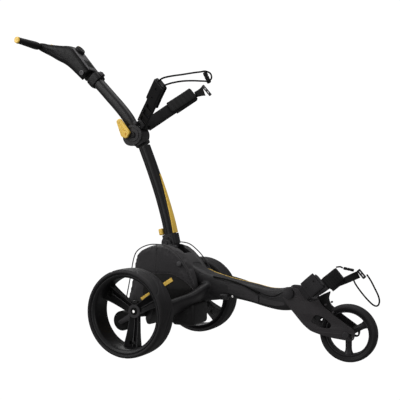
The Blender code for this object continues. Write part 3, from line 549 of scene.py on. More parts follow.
def box(name, centre, size, across=FORWARD, up=UP, soft=0.0, segments=3):
    """A box whose local X and Z lie along the two given directions."""
    shape = bmesh.new()
    bmesh.ops.create_cube(shape, size=1)
    bmesh.ops.scale(shape, vec=size, verts=shape.verts)
    obj = placed(from_shape(name, shape), centre, across, up)
    return bevel(obj, soft, segments) if soft else obj


def rod(name, start, end, radius, sides=40):
    """A round bar between two points."""
    start, end = Vector(start), Vector(end)
    shape = bmesh.new()
    bmesh.ops.create_cone(
        shape,
        cap_ends=True,
        segments=sides,
        radius1=radius,
        radius2=radius,
        depth=(end - start).length,
    )
    obj = from_shape(name, shape)
    obj.location = PLACE + (start + end) / 2
    obj.rotation_euler = (end - start).to_track_quat("Z", "Y").to_euler()
    return obj


def crossbar(name, centre, half, radius, sides=40):
    """A round bar across the trolley, reaching half to either side of its centre."""
    return rod(name, Vector(centre) - ACROSS * half, Vector(centre) + ACROSS * half, radius, sides)


def turned(name, profile, centre, axis=ACROSS, steps=96, relief=None):
    """A turned piece from a closed loop of (radius, offset along the axis) points; zero radius closes it.

    relief(angle, radius, offset) is how far a point of the skin sinks towards the axis.
    """
    axis = Vector(axis).normalized()
    wide = (FORWARD if abs(axis.x) < 0.7 else UP).cross(axis).normalized()
    high = axis.cross(wide)
    shape = bmesh.new()
    rings = []
    for radius, offset in profile:
        base = Vector(centre) + axis * offset
        if radius < 1e-6:
            rings.append([shape.verts.new(base)])
            continue
        ring = []
        for k in range(steps):
            angle = 2 * pi * k / steps
            r = radius - (relief(angle, radius, offset) if relief else 0)
            ring.append(shape.verts.new(base + (wide * cos(angle) + high * sin(angle)) * r))
        rings.append(ring)
    for a, b in zip(rings, rings[1:] + rings[:1]):
        for k in range(steps):
            n = (k + 1) % steps
            if len(a) > 1 and len(b) > 1:
                shape.faces.new((a[k], a[n], b[n], b[k]))
            elif len(a) > 1:
                shape.faces.new((a[k], a[n], b[0]))
            elif len(b) > 1:
                shape.faces.new((a[0], b[n], b[k]))
    bmesh.ops.recalc_face_normals(shape, faces=shape.faces)
    return from_shape(name, shape)


def chamfered(points, size):
    """A turned profile with its corners broken by short flats."""
    result = []
    for i, corner in enumerate(points):
        here = Vector(corner)
        before = Vector(points[i - 1]) - here
        after = Vector(points[(i + 1) % len(points)]) - here
        if corner[0] < 1e-6 or min(before.length, after.length) < 2.1 * size:
            result.append(tuple(here))
        else:
            result.append(tuple(here + before.normalized() * size))
            result.append(tuple(here + (before.normalized() + after.normalized()) * size * 0.3))
            result.append(tuple(here + after.normalized() * size))
    return result


def disc(radius, low, high):
    """The profile of a plain disc."""
    return [(0, low), (radius, low), (radius, high), (0, high)]


def facing(profile, sign):
    """A turned profile for the trolley's right (-1) or left (1) side."""
    return [(r, sign * y) for r, y in profile]


def on_bag(origin, across, out, along=0.0):
    """A point from a cradle's origin: across the trolley, out of the cradle, and along the bag."""
    return Vector((origin[0], across, origin[2])) + BAG_OUT * out + BAG_AXIS * along


def screw(name, place, out, body, radius=0.0035, look=None):
    """A small pan-head screw with a socket, standing on a face."""
    out = Vector(out).normalized()
    head = turned(name, chamfered(disc(radius, -0.002, 0.0012), 0.0005), place, out, 24)
    socket = turned("socket", disc(radius * 0.5, 0.0004, 0.004), place, out, 6)
    return show(cut(head, socket), look or STEEL, body)


# ---------------- wheels
GROOVE_WIDTH = 0.0034
GROOVE_DEPTH = 0.0022
GROOVES = 9


def tread_relief(angle, radius, offset):
    """Two crossing sets of grooves that sweep from each shoulder of the tyre and run out along its middle."""
    edge = 0.0385
    if radius < 0.14 or abs(offset) > edge:
        return 0.0
    depth = 0.0
    for side in (1, -1):
        u = (edge - side * offset) / (edge * 1.25)
        if u > 1:
            continue
        swept = 0.62 * (1 - (1 - min(u, 0.995) ** 2) ** 0.5) + 0.1 * u
        slope = 0.62 * u / (1 - min(u, 0.98) ** 2) ** 0.5 + 0.1
        pitch = 2 * pi / GROOVES
        phase = (angle * side - swept + (pitch / 2 if side < 0 else 0)) % pitch
        arc = min(phase, pitch - phase) * radius
        away = arc / hypot(1, slope * radius / (edge * 1.25))
        share = max(0.0, 1 - away / GROOVE_WIDTH)
        fade = min(1.0, (1 - u) / 0.06)
        depth = max(depth, GROOVE_DEPTH * share * share * (3 - 2 * share) * fade)
    return depth


def rear_tyre(label, centre):
    """Balloon tyre: beads on the rim, round sidewalls with a fine step, and a swept tread."""
    wall = [
        (0.1335, 0.031), (0.1338, 0.035), (0.1346, 0.0384), (0.1356, 0.0398), (0.1362, 0.0396),
        (0.1366, 0.0406), (0.138, 0.042), (0.1405, 0.0425), (0.1435, 0.0417), (0.1458, 0.04),
        (0.1474, 0.0377),
    ]
    crown = []
    for k in range(17):
        w = 0.0352 * (1 - k / 16)
        crown.append((WHEEL_RADIUS - 0.0016 * (w / 0.0352) ** 3, w))
    half = wall + crown
    profile = half + [(r, -w) for r, w in reversed(half[:-1])]
    tyre = turned(f"tyre_{label}_tread", profile, centre, steps=360, relief=tread_relief)
    show(tyre, TYRE, f"wheel_{label}", f"tyre_{label}", crease=60)


def spoke_frame(angle, sign):
    """A spoke's outward direction and the side vector that turns its open face outboard."""
    out = Vector((cos(angle), 0, sin(angle)))
    side = Vector((-sin(angle), 0, cos(angle))) * -sign
    return out, side


TROUGH = [
    (-1.0, -0.8), (-0.9, -1.0), (0.9, -1.0), (1.0, -0.8), (1.0, 0.9), (0.95, 1.0), (0.86, 1.0), (0.8, 0.85),
    (0.09, -0.3), (0.07, 0.1), (-0.07, 0.1), (-0.09, -0.3), (-0.8, 0.85), (-0.86, 1.0), (-0.95, 1.0),
    (-1.0, 0.9),
]


def rear_rim(label, sign, phase, centre):
    """Deep rim: outer lip, barrel, three open-faced spokes with pockets, and the hub."""
    barrel = [
        (0.1332, -0.0345), (0.1332, 0.0345), (0.1328, 0.0362), (0.1314, 0.0372), (0.129, 0.037),
        (0.1262, 0.0352), (0.123, 0.033), (0.121, 0.029), (0.12, 0.02), (0.1194, 0.006), (0.1196, -0.026),
        (0.1206, -0.04), (0.1222, -0.0428), (0.1246, -0.0428), (0.1262, -0.04),
    ]
    rim = turned(f"rim_{label}_wheel", facing(barrel, sign), centre, steps=120)
    tools = []
    for k in range(3):
        angle = phase + k * 2 * pi / 3
        out, side = spoke_frame(angle, sign)
        base = Vector(centre) - ACROSS * (sign * 0.034)
        outboard = ACROSS * sign
        rows = [
            (0.016, 0.0185, 0.0085, 0.0),
            (0.045, 0.02, 0.0092, 0.001),
            (0.085, 0.0235, 0.0125, 0.005),
            (0.1215, 0.029, 0.0165, 0.009),
        ]
        stations = smooth([(*(base + out * r + outboard * lean), w, d) for r, w, d, lean in rows], 3)
        spoke = loft("spoke", stations, side=side, unit=TROUGH)
        pocket = box(
            "pocket", base + out * 0.108 + ACROSS * sign * 0.008, (0.01, 0.024, 0.011), out, ACROSS * sign
        )
        oval = turned(
            "oval", disc(0.0105, -0.004, 0.01), base + out * 0.098 - ACROSS * sign * 0.0125, ACROSS, 40
        )
        tools += [spoke]
        cut(spoke, pocket, oval)
    hub = [(0.0075, -0.0475), (0.0255, -0.0475), (0.026, -0.046), (0.026, -0.0325), (0.0235, -0.0288)]
    hub += [(0.0135, -0.0288), (0.0125, -0.0298), (0.0075, -0.0298)]
    hub_piece = turned("hub", facing(hub, sign), centre, steps=64)
    union(rim, *tools, hub_piece)
    show(rim, RIM, f"wheel_{label}", f"rim_{label}", crease=32)
    ring = [
        (0.0238, -0.0286), (0.0238, -0.027), (0.0228, -0.026), (0.0135, -0.026), (0.0125, -0.027),
        (0.0125, -0.0286),
    ]
    cap = turned(f"hub_cap_{label}", facing(ring, sign), centre, steps=64)
    show(cap, SATIN, f"wheel_{label}")


def wheel_catch(label, sign, phase, centre):
    """The sprung catch on the hub that lets the wheel slide off its shaft."""
    out, _ = spoke_frame(phase + radians(62), sign)
    middle = Vector(centre) + out * 0.03 - ACROSS * (sign * 0.035)
    body = box(f"wheel_catch_{label}", middle, (0.011, 0.024, 0.015), out, ACROSS * sign, soft=0.003)
    show(body, HARD, f"wheel_{label}")


def wheel_shaft(label, sign):
    """The motor's output shaft with a dark washer and a bright hexagon bolt."""
    centre = Vector((0, 0, WHEEL_RADIUS))
    face = TRACK / 2 - 0.0286
    shaft = turned(f"axle_shaft_{label}_bar", facing(disc(0.006, 0.16, face), sign), centre, steps=40)
    show(shaft, STEEL, f"wheel_{label}", f"axle_shaft_{label}")
    ring = chamfered(
        [(0.0052, face + 0.0002), (0.0118, face + 0.0002), (0.0118, face + 0.003), (0.0052, face + 0.003)],
        0.0006,
    )
    washer = turned(f"wheel_washer_{label}", facing(ring, sign), centre, steps=48)
    show(washer, DEEP, f"wheel_{label}")
    head = chamfered(disc(0.0056, face, face + 0.0055), 0.0007)
    bolt = turned(f"wheel_bolt_{label}", facing(head, sign), centre, steps=6)
    show(bolt, STEEL, f"wheel_{label}", crease=20)


def rear_wheels():
    for label, sign, phase in (("right", -1, radians(28)), ("left", 1, radians(-39))):
        centre = (0, sign * TRACK / 2, WHEEL_RADIUS)
        rear_tyre(label, centre)
        rear_rim(label, sign, phase, centre)
        wheel_catch(label, sign, phase, centre)
        wheel_shaft(label, sign)


def front_wheel():
    """Narrow front wheel: ribbed tyre, thin rim and three round spokes that flare into it."""
    centre = FRONT_AXLE
    half = [
        (0.074, 0.017), (0.0752, 0.0198), (0.0785, 0.0228), (0.08, 0.0236), (0.0806, 0.0232),
        (0.0812, 0.0241), (0.084, 0.0252), (0.0862, 0.0252), (0.088, 0.0244), (0.0893, 0.0234),
        (0.089, 0.0222), (0.0903, 0.0214), (0.0916, 0.02), (0.0926, 0.018), (0.0933, 0.016),
        (0.0926, 0.0148), (0.0926, 0.0138), (0.0938, 0.0126), (0.0943, 0.009), (FRONT_RADIUS, 0.004),
        (FRONT_RADIUS, 0.001),
    ]
    profile = half + [(r, -w) for r, w in reversed(half)]
    show(
        turned("front_tyre_ribbed", profile, centre, steps=160), TYRE, "front_wheel", "front_tyre",
        crease=50,
    )
    barrel = [(0.0737, -0.0178), (0.0737, 0.0178), (0.0718, 0.019), (0.07, 0.0188), (0.0686, 0.015)]
    barrel += [(0.068, 0.0), (0.0686, -0.015), (0.07, -0.0188), (0.0718, -0.019)]
    rim = turned("front_wheel_rim", barrel, centre, steps=96)
    spokes = []
    for k in range(3):
        angle = -pi / 2 + k * 2 * pi / 3
        out = Vector((cos(angle), 0, sin(angle)))
        side = Vector((-sin(angle), 0, cos(angle)))
        rows = [
            (0.01, 0.012), (0.022, 0.0108), (0.045, 0.0104), (0.056, 0.0112), (0.064, 0.014), (0.07, 0.0175)
        ]
        stations = smooth([(*(centre + out * r), w, w * 0.92) for r, w in rows], 3)
        spokes.append(loft("spoke", stations, side=side, power=2.2, count=24))
    hub = turned(
        "hub", chamfered([(0.0066, -0.028), (0.016, -0.028), (0.016, 0.028), (0.0066, 0.028)], 0.0015),
        centre, steps=48,
    )
    union(rim, *spokes, hub)
    show(rim, SATIN, "front_wheel", "front_rim", crease=45)


def anti_tip():
    """The arm behind the axle, with its bolt and its small double wheel."""
    x, z = ANTI_TIP_AXLE.x, ANTI_TIP_AXLE.z
    outline = rounded(
        [(-0.046, 0.171), (-0.044, 0.128), (x + 0.002, z - 0.012), (x - 0.012, z - 0.002)], 0.009, 8
    )
    arm = plate("anti_tip_arm_plate", outline, -0.0215, -0.0135)
    root = box("root", (-0.051, 0, 0.149), (0.024, 0.041, 0.034), soft=0.004)
    stub = rod("stub", (x, -0.016, z), (x, 0.015, z), 0.005, 32)
    axle_room = crossbar("axle_room", (0, 0, WHEEL_RADIUS), 0.2, 0.0386, 64)
    cut(union(bevel(arm, 0.0015), root, stub), axle_room)
    show(arm, SATIN, "trolley", "anti_tip_arm")
    screw("anti_tip_bolt", (x, -0.0215, z), -ACROSS, "trolley", 0.004, SATIN)
    half = corners("anti_tip_wheel")[1].y
    radius = (corners("anti_tip_wheel")[1].z - corners("anti_tip_wheel")[0].z) / 2
    profile = [(0.0053, -half), (0.03, -half), (0.0312, -half + 0.0012), (0.0325, -half)]
    profile += [(radius - 0.003, -half), (radius, -half + 0.003), (radius, -0.0016), (radius - 0.002, 0.0)]
    profile += [(r, -w) for r, w in reversed(profile[:-1])]
    show(turned("anti_tip_wheel_tyre", profile, ANTI_TIP_AXLE, steps=80), DEEP, "anti_tip", "anti_tip_wheel")


# ---------------- chassis
BEAM = [
    (0.513, 0, 0.216, 0.022, 0.012),
    (0.502, 0, 0.199, 0.03, 0.035),
    (0.48, 0, 0.195, 0.033, 0.039),
    (0.446, 0, 0.191, 0.033, 0.037),
    (0.4, 0, 0.1945, 0.033, 0.033),
    (0.34, 0, 0.2068, 0.035, 0.0318),
    (0.265, 0, 0.218, 0.038, 0.0325),
    (0.205, 0, 0.226, 0.041, 0.038),
    (0.16, 0, 0.248, 0.043, 0.029),
    (0.11, 0, 0.279, 0.041, 0.022),
    (0.062, 0, 0.316, 0.036, 0.021),
    (0.022, 0, 0.344, 0.034, 0.024),
]
# The wings sweep out, down and back to the wheels, and their sections lean with WING_SLOPE.
WING_RIGHT = [
    (0.032, -0.196, 0.134, 0.048, 0.021),
    (0.056, -0.165, 0.14, 0.055, 0.0185),
    (0.084, -0.122, 0.151, 0.06, 0.0165),
    (0.11, -0.078, 0.165, 0.064, 0.0165),
    (0.135, -0.03, 0.188, 0.072, 0.02),
]
WING_MIDDLE = (0.14, 0.0, 0.193, 0.074, 0.022)
WING = [*WING_RIGHT, WING_MIDDLE, *((x, -y, z, wide, high) for x, y, z, wide, high in reversed(WING_RIGHT))]
WING_SLOPE = Vector((0.776, 0, 0.631))
CASTING_VOXEL = 0.0032
HOUSING_ROOM = 0.0385
NECK_ROOM = 0.0176
SOCKET_CENTRE = (0.0115, 0, 0.345)
SOCKET_SIZE = (0.083, 0.072, 0.042)
SIDE_GROOVE = [
    (0.15, 0.272), (0.205, 0.26), (0.257, 0.251), (0.3, 0.241), (0.34, 0.227), (0.376, 0.211),
    (0.405, 0.201), (0.43, 0.1995), (0.45, 0.208), (0.462, 0.219),
]


def beam_half_width(x):
    """Half the beam's width at a distance ahead of the axle."""
    for (x1, _, _, w1, _), (x0, _, _, w0, _) in zip(BEAM, BEAM[1:]):
        if x0 <= x <= x1:
            return w0 + (w1 - w0) * (x - x0) / (x1 - x0)
    return BEAM[-1][3]


def beam_shape(name, growth=0.0, steps=4):
    """The beam and spine as one bar, or a larger copy that cuts room for it."""
    return loft(name, smooth(grown(BEAM, growth), steps), power=3.6, count=40)


def chassis_frame():
    """Beam, spine, wings and mast socket as one blended casting, with a groove along each side."""
    frame_piece = beam_shape("chassis_casting", steps=5)
    wing = loft("wing", smooth(WING, 5), side=WING_SLOPE, power=2.6, count=36)
    socket = box("socket", SOCKET_CENTRE, SOCKET_SIZE, soft=0.007)
    keel = loft(
        "keel",
        smooth(
            [(0.245, 0, 0.186, 0.02, 0.006), (0.205, 0, 0.19, 0.03, 0.018), (0.15, 0, 0.196, 0.036, 0.03)],
            4,
        ),
    )
    x, z = MAST_PIVOT.x, MAST_PIVOT.z
    ears = crossbar("ears", (x, 0, z - 0.004), 0.032, 0.019, 48)
    union(frame_piece, wing, socket, keel, ears)
    remesh(frame_piece, CASTING_VOXEL, 7)
    tools = []
    for sign in (-1, 1):
        route = [(x, sign * (beam_half_width(x) + 0.0012), z) for x, z in SIDE_GROOVE]
        tools.append(tube("groove", route, 0.0052, 6, 4))
    tools.append(box("mast_slot", (0.01, 0, 0.3885), (0.2, 0.047, 0.113), soft=0.0015))
    tools.append(crossbar("axle_room", (0, 0, WHEEL_RADIUS), 0.118, HOUSING_ROOM, 64))
    tools.append(crossbar("neck_room", (0, 0, WHEEL_RADIUS), 0.3, NECK_ROOM, 40))
    for sign in (-1, 1):
        tools.append(
            box(
                "spine_slot", (0.136, sign * 0.044, 0.314), (0.046, 0.005, 0.0045), (0.84, 0, -0.55),
                (0.55, 0, 0.84),
            ),
        )
    cut(frame_piece, *tools)
    show(frame_piece, CASTING, "trolley", "chassis_frame", crease=30)
    for sign, label in SIDES:
        route = [(x, sign * (beam_half_width(x) - 0.0024), z) for x, z in SIDE_GROOVE[1:-1] if x < 0.4]
        show(tube(f"groove_seal_{label}", route, 0.0032, 6, 3), DEEP, "trolley")


def side_panels():
    """The flat pointed panels on both sides of the beam, proud of the casting."""
    outline = [
        (0.15, 0.219), (0.205, 0.233), (0.262, 0.24), (0.305, 0.2335), (0.34, 0.219), (0.375, 0.201),
        (0.4, 0.1915), (0.436, 0.187), (0.466, 0.185), (0.472, 0.176), (0.44, 0.17), (0.385, 0.176),
        (0.33, 0.188), (0.27, 0.202), (0.215, 0.208),
    ]
    for sign, label in SIDES:
        low, high = sorted((sign * 0.025, sign * 0.038))
        panel = plate(f"side_panel_{label}", rounded(outline, 0.01, 3), low, high)
        bevel(panel, 0.0028, 3, 50)
        cut(panel, box("fork_room", (0.46, sign * 0.044, 0.19), (0.17, 0.021, 0.12)))
        show(panel, PANEL, "trolley", crease=30)
    catch = box("catch_box", (0.251, -0.0455, 0.1915), (0.029, 0.02, 0.02), soft=0.0035)
    inner = box("catch_room", (0.248, -0.056, 0.19), (0.014, 0.008, 0.01))
    show(cut(catch, inner), CASTING, "trolley")
    screw("catch_screw", (0.279, -0.0385, 0.1935), -ACROSS, "trolley", 0.0042)


def top_line():
    """The thin yellow line along the far upper edge of the beam."""
    route = []
    for x, _, z, wide, high in smooth(BEAM, 5):
        if 0.15 < x < 0.455:
            route.append((x, wide * 0.8, z + high * 0.905))
    show(tube("beam_top_line", route, 0.0016, 2), YELLOW, "trolley")


# CAD pieces that are shown as they are.
CAD_LOOKS = {
    "axle_housing": CASTING,
    "gearmotor_right": MOTOR,
    "gearmotor_left": MOTOR,
    "battery_pack": PACK,
    "mast_pin": SATIN,
    "joint_pin": SATIN,
    "front_axle": SATIN,
}


def drive_train():
    """The looks of the CAD pieces that stay, and the gearboxes at both ends of the motor tube."""
    for node_name, look in CAD_LOOKS.items():
        frame["nodes"][node_name].data.materials[0] = look
    for sign, label in SIDES:
        y0, y1 = sign * 0.119, sign * 0.212
        points = [
            (0.0178, y0), (0.03, y0), (0.03, sign * 0.15), (0.0255, sign * 0.19), (0.0225, y1), (0.0178, y1)
        ]
        gearbox = turned(f"gearbox_{label}", chamfered(points, 0.0015), (0, 0, WHEEL_RADIUS), steps=64)
        # The gearboxes take the darker copy of the body plastic, painted shade for their place under the
        # wings.
        show(gearbox, SHADED_BODY, "trolley")


def electronics_and_tray():
    """The speed controller with cooling ribs, and the tray, a board cut round the beam."""
    low, high = corners("controller_box")
    high = high - FORWARD * 0.018
    centre, size = (low + high) / 2, high - low
    case = box("controller_case", centre, size, soft=0.014, segments=4)
    gaps = []
    for k in range(9):
        x = low.x + size.x * (k + 1) / 10
        gaps.append(box("gap", (x, 0, low.z), (0.004, size.y * 0.8, 0.01)))
    # Controller and tray take the darker copy of the body plastic, painted shade for their place under the
    # case.
    show(cut(case, *gaps), SHADED_BODY, "trolley", "controller_box")
    low, high = corners("battery_tray")
    centre, size = (low + high) / 2, high - low
    tray = box("battery_tray_board", centre, size, soft=0.0025)
    cut(tray, beam_shape("beam_room", 0.001))
    show(tray, SHADED_BODY, "trolley", "battery_tray")


# ---------------- battery case
BAG_TOP = [
    (-0.135, 0.148), (-0.1149, 0.238), (-0.0976, 0.318), (-0.0774, 0.349), (-0.0376, 0.367),
    (0.0033, 0.3705), (0.0452, 0.364), (0.0857, 0.3355), (0.113, 0.304), (0.1322, 0.2742), (0.1516, 0.232),
]
BAG_HALF = 0.086
BAG_BASE = [(0.1516, 0.215), (0.109, 0.178), (0.06, 0.148), (0.0, 0.139), (-0.06, 0.139)]
FLAP_EDGE = [
    (-0.109, 0.264), (-0.001, 0.2655), (0.0554, 0.267), (0.092, 0.2579), (0.1283, 0.2351), (0.151, 0.215)
]


def puff(obj, pressure, most, frames=20):
    """Swell a piece as a filled case swells, by cloth under pressure, no point moving further than most."""
    step = obj.modifiers.new("Remesh", "REMESH")
    step.mode = "VOXEL"
    step.voxel_size = 0.005
    settle(obj)
    rest = [v.co.copy() for v in obj.data.vertices]
    cloth = obj.modifiers.new("Cloth", "CLOTH")
    cloth.settings.use_pressure = True
    cloth.settings.uniform_pressure_force = pressure
    cloth.settings.effector_weights.gravity = 0
    cloth.settings.quality = 5
    cloth.point_cache.frame_start = 1
    cloth.point_cache.frame_end = frames
    scene = bpy.context.scene
    for number in range(1, frames + 1):
        scene.frame_set(number)
    settle(obj)
    for vertex, start in zip(obj.data.vertices, rest):
        moved = vertex.co - start
        if moved.length > most:
            vertex.co = start + moved * (most / moved.length)
    scene.frame_set(1)
    return obj


def flap_height(x):
    """The height of the side flap's lower edge at a distance ahead of the axle."""
    for (x0, z0), (x1, z1) in zip(FLAP_EDGE, FLAP_EDGE[1:]):
        if x0 <= x <= x1:
            return z0 + (z1 - z0) * (x - x0) / (x1 - x0)
    return FLAP_EDGE[0][1] if x < FLAP_EDGE[0][0] else FLAP_EDGE[-1][1]


def battery_case():
    """The sewn case: a swollen body whose upper part stands proud as a flap."""
    inset = 0.004
    middle = Vector((0.02, 0.27))
    smaller = []
    for x, z in [*smooth(BAG_TOP, 5), *BAG_BASE]:
        inward = (middle - Vector((x, z))).normalized() * inset
        smaller.append((x + inward.x, z + inward.y))
    edge = BAG_HALF - 0.006
    case = bevel(plate("battery_case", smaller, -edge, edge), 0.012, 4)
    puff(case, 4.0, 0.0045)
    for vertex in case.data.vertices:
        x, y, z = vertex.co.x - PLACE.x, vertex.co.y, vertex.co.z
        above = (z - flap_height(x)) / 0.006
        if abs(y) > edge - 0.01:
            raised = 0.0035 * min(1.0, max(0.0, above))
            sunk = 0.002 if above < 0 else 0.0
            vertex.co.y += copysign(raised - sunk, y)
    fine = case.modifiers.new("Fine", "SUBSURF")
    fine.levels = fine.render_levels = 1
    settle(case)
    cut(
        case,
        beam_shape("spine_room", 0.0012),
        box("mast_room", (0.056, 0, 0.396), (0.152, 0.051, 0.12)),
    )
    show(case, FABRIC, "trolley", "battery_bag", crease=60)


# Outline of the painted-shade sheet low on each side of the case, where its bulging side curves under into
# shadow.
CASE_SHADE_OUTLINE = [
    (-0.05, 0.142), (-0.058, 0.2), (-0.04, 0.255), (-0.001, 0.2635), (0.0554, 0.265), (0.092, 0.256),
    (0.1275, 0.2335), (0.148, 0.216), (0.109, 0.18), (0.06, 0.15), (0.0, 0.141),
]


def case_trim():
    """The case's piping, side seam, snaps and yellow straps, and on each side a near-black sheet that paints
    the shade where the case's side curves under.
    """
    seam_line = [(0.0005, 0.3675), (-0.001, 0.345), (-0.0025, 0.31), (-0.004, 0.268)]
    for sign, label in SIDES:
        out = ACROSS * sign
        rim = [(x, sign * (BAG_HALF - 0.0015), z) for x, z in BAG_TOP]
        show(tube(f"case_piping_{label}", rim, 0.0021, 6), FABRIC, "trolley")
        lower = [(x, sign * (BAG_HALF + 0.0006), z) for x, z in FLAP_EDGE]
        show(tube(f"flap_piping_{label}", lower, 0.0015, 6), FABRIC, "trolley")
        # The near-black sheet below the flap is painted shade: the case's side curves under there and falls
        # into shadow.
        low, high = sorted((sign * (BAG_HALF - 0.004), sign * (BAG_HALF + 0.0018)))
        base = bevel(plate(f"case_painted_shade_{label}", rounded(CASE_SHADE_OUTLINE, 0.012, 4), low, high), 0.0012)
        show(base, CASE_SHADE, "trolley", crease=32)
        seam = [(x, sign * (BAG_HALF + 0.0018), z) for x, z in seam_line]
        show(tube(f"side_seam_{label}", seam, 0.001, 5), FABRIC, "trolley")
        knob = chamfered([(0, 0.0), (0.0092, 0.0), (0.0092, 0.003), (0.007, 0.0042), (0, 0.0046)], 0.0007)
        show(
            turned(f"case_snap_{label}", knob, (0.0928, sign * (BAG_HALF + 0.0012), 0.3043), out, 48), PALE,
            "trolley",
        )
        low, high = Vector((-0.062, 0, 0.168)), Vector((0.066, 0, 0.2475))
        run = (high - low).normalized()
        rows = []
        for k in range(9):
            place = low.lerp(high, k / 8) + out * (BAG_HALF + 0.003)
            rows.append((*place, 0.007, 0.0011))
        strap = loft(f"case_strap_{label}", rows, side=run.cross(ACROSS), power=6, count=20)
        show(strap, YELLOW, "trolley", f"battery_strap_{label}")


# ---------------- front fork
FORK_OUTLINE = [
    (0.47, 0.238), (0.5, 0.238), (0.522, 0.2325), (0.5575, 0.1915), (0.57, 0.196), (0.59, 0.202),
    (0.6, 0.186), (0.615, 0.174), (0.647, 0.15), (0.711, 0.108), (0.706, 0.076), (0.679, 0.0765),
    (0.631, 0.081), (0.594, 0.088), (0.56, 0.098), (0.533, 0.12), (0.512, 0.144), (0.474, 0.186),
    (0.462, 0.212),
]
FORK_WINDOW = [(0.561, 0.127), (0.58, 0.155), (0.617, 0.14), (0.635, 0.122), (0.626, 0.11), (0.603, 0.11)]
PLATE_IN = 0.034
PLATE_OUT = 0.04
SPACER = (0.583, 0.143)


def fork():
    """Two smooth side plates, the ribbed spacer between them, the fold hinge's discs and the axle."""
    slot = rounded([(0.691, 0.083), (0.702, 0.083), (0.702, 0.099), (0.691, 0.099)], 0.003)
    holes = [
        rounded(FORK_WINDOW, 0.012, 6),
        circle(FORK_PIVOT.x, FORK_PIVOT.z, 0.0064),
        circle(FRONT_AXLE.x, FRONT_AXLE.z, 0.0064),
        slot,
        circle(0.613, 0.187, 0.0035, 20),
        circle(0.638, 0.164, 0.0035, 20),
    ]
    for label, low in (("right", -PLATE_OUT), ("left", PLATE_IN)):
        side = plate(
            f"fork_side_{label}", rounded(FORK_OUTLINE, 0.012, 5), low, low + PLATE_OUT - PLATE_IN, holes
        )
        show(bevel(side, 0.0012, 3), PLATE, "fork", f"fork_plate_{label}", crease=30)
    inside = PLATE_IN - 0.0004
    x, z = SPACER
    rows = []
    for k in range(13):
        y = -inside + 2 * inside * k / 12
        radius = 0.0122 if k in (0, 1, 2, 10, 11, 12) else (0.0112 if k % 2 else 0.0095)
        rows += [(radius, y), (radius, y + 2 * inside / 12 * 0.6)] if k < 12 else [(radius, y)]
    show(
        turned("fork_spacer_tube", [(0, -inside), *rows, (0, inside)], (x, 0, z), steps=48), HARD, "fork",
        "fork_spacer",
    )
    face = PLATE_OUT + 0.0003
    button = chamfered(disc(0.0195, face, face + 0.006), 0.0016)
    far_button = facing(button, -1)
    pin = turned("fold_hinge_pin", disc(0.006, -face - 0.001, face + 0.001), FORK_PIVOT, steps=40)
    union(pin, turned("cap", button, FORK_PIVOT, steps=72), turned("cap", far_button, FORK_PIVOT, steps=72))
    show(pin, SATIN, "trolley", "fold_pin")
    arch = [
        (0.58, 0.208), (0.612, 0.226), (0.6045, 0.2), (0.612, 0.18), (0.642, 0.156), (0.63, 0.148),
        (0.595, 0.172),
    ]
    guard = plate("fork_guard", rounded(arch, 0.008, 4), -0.0315, 0.0315)
    show(bevel(guard, 0.0015), DEEP, "fork", crease=32)
    for sign, label in SIDES:
        nut = turned(
            f"axle_nut_{label}", chamfered(disc(0.0095, face + 0.0004, face + 0.0064), 0.001), FRONT_AXLE,
            ACROSS * sign, 6,
        )
        show(nut, SATIN, "fork", crease=20)


# ---------------- bag cradles
BAND = 0.005
PAD_HALF = 0.004
LOWER_HALF_WIDTH = 0.026
LOWER_FOOT_HALF = 0.0215
LOWER_ALONG = -0.003
LOWER_BAND = [(0, 0.0), (0.045, 0.002), (0.082, 0.012), (0.106, 0.034), (0.116, 0.062), (0.117, 0.095)]
UPPER_HALF_WIDTH = 0.0245
UPPER_ALONG = 0.01
UPPER_ARM = [(0.012, 0.05), (0.038, 0.095), (0.066, 0.146), (0.097, 0.195), (0.124, 0.243)]


def mirrored(points, sign):
    return [(sign * y, n) for y, n in points]


def band_rows(foot, points, half_width, half_thick, along=0.0, inward=0.0, steps=6):
    """Loft stations of a strip through (across, out) points of a cradle, moved inward from the line."""
    knots = smooth(points, steps)
    rows = []
    for i, (y, n) in enumerate(knots):
        before, after = knots[max(i - 1, 0)], knots[min(i + 1, len(knots) - 1)]
        dy, dn = after[0] - before[0], after[1] - before[1]
        length = hypot(dy, dn)
        y_in, n_in = y - inward * dn / length, n + inward * dy / length
        rows.append((*on_bag(foot, y_in, n_in, along), half_width, half_thick))
    return rows


def band(name, *args, power=5, count=28, **options):
    return loft(name, band_rows(*args, **options), side=BAG_AXIS, power=power, count=count)


def ribbed_pad(name, body, foot, points, half_width, along, offset, nodes):
    """A rubber pad with ribs across it, rounded at the ends."""
    rows = band_rows(foot, points, half_width, PAD_HALF, along, offset, steps=14)
    last = len(rows) - 1
    ribbed = []
    for i, (x, y, z, wide, high) in enumerate(rows):
        end = min(i, last - i)
        shrink = (0.72, 0.93, 1.0)[min(end, 2)]
        rib = 1.0 if (i // 2) % 2 or end < 2 else 0.8
        ribbed.append((x, y, z, wide * shrink, high * shrink * rib))
    show(loft(name, ribbed, side=BAG_AXIS, power=5, count=28), PAD, body, *nodes, crease=30)


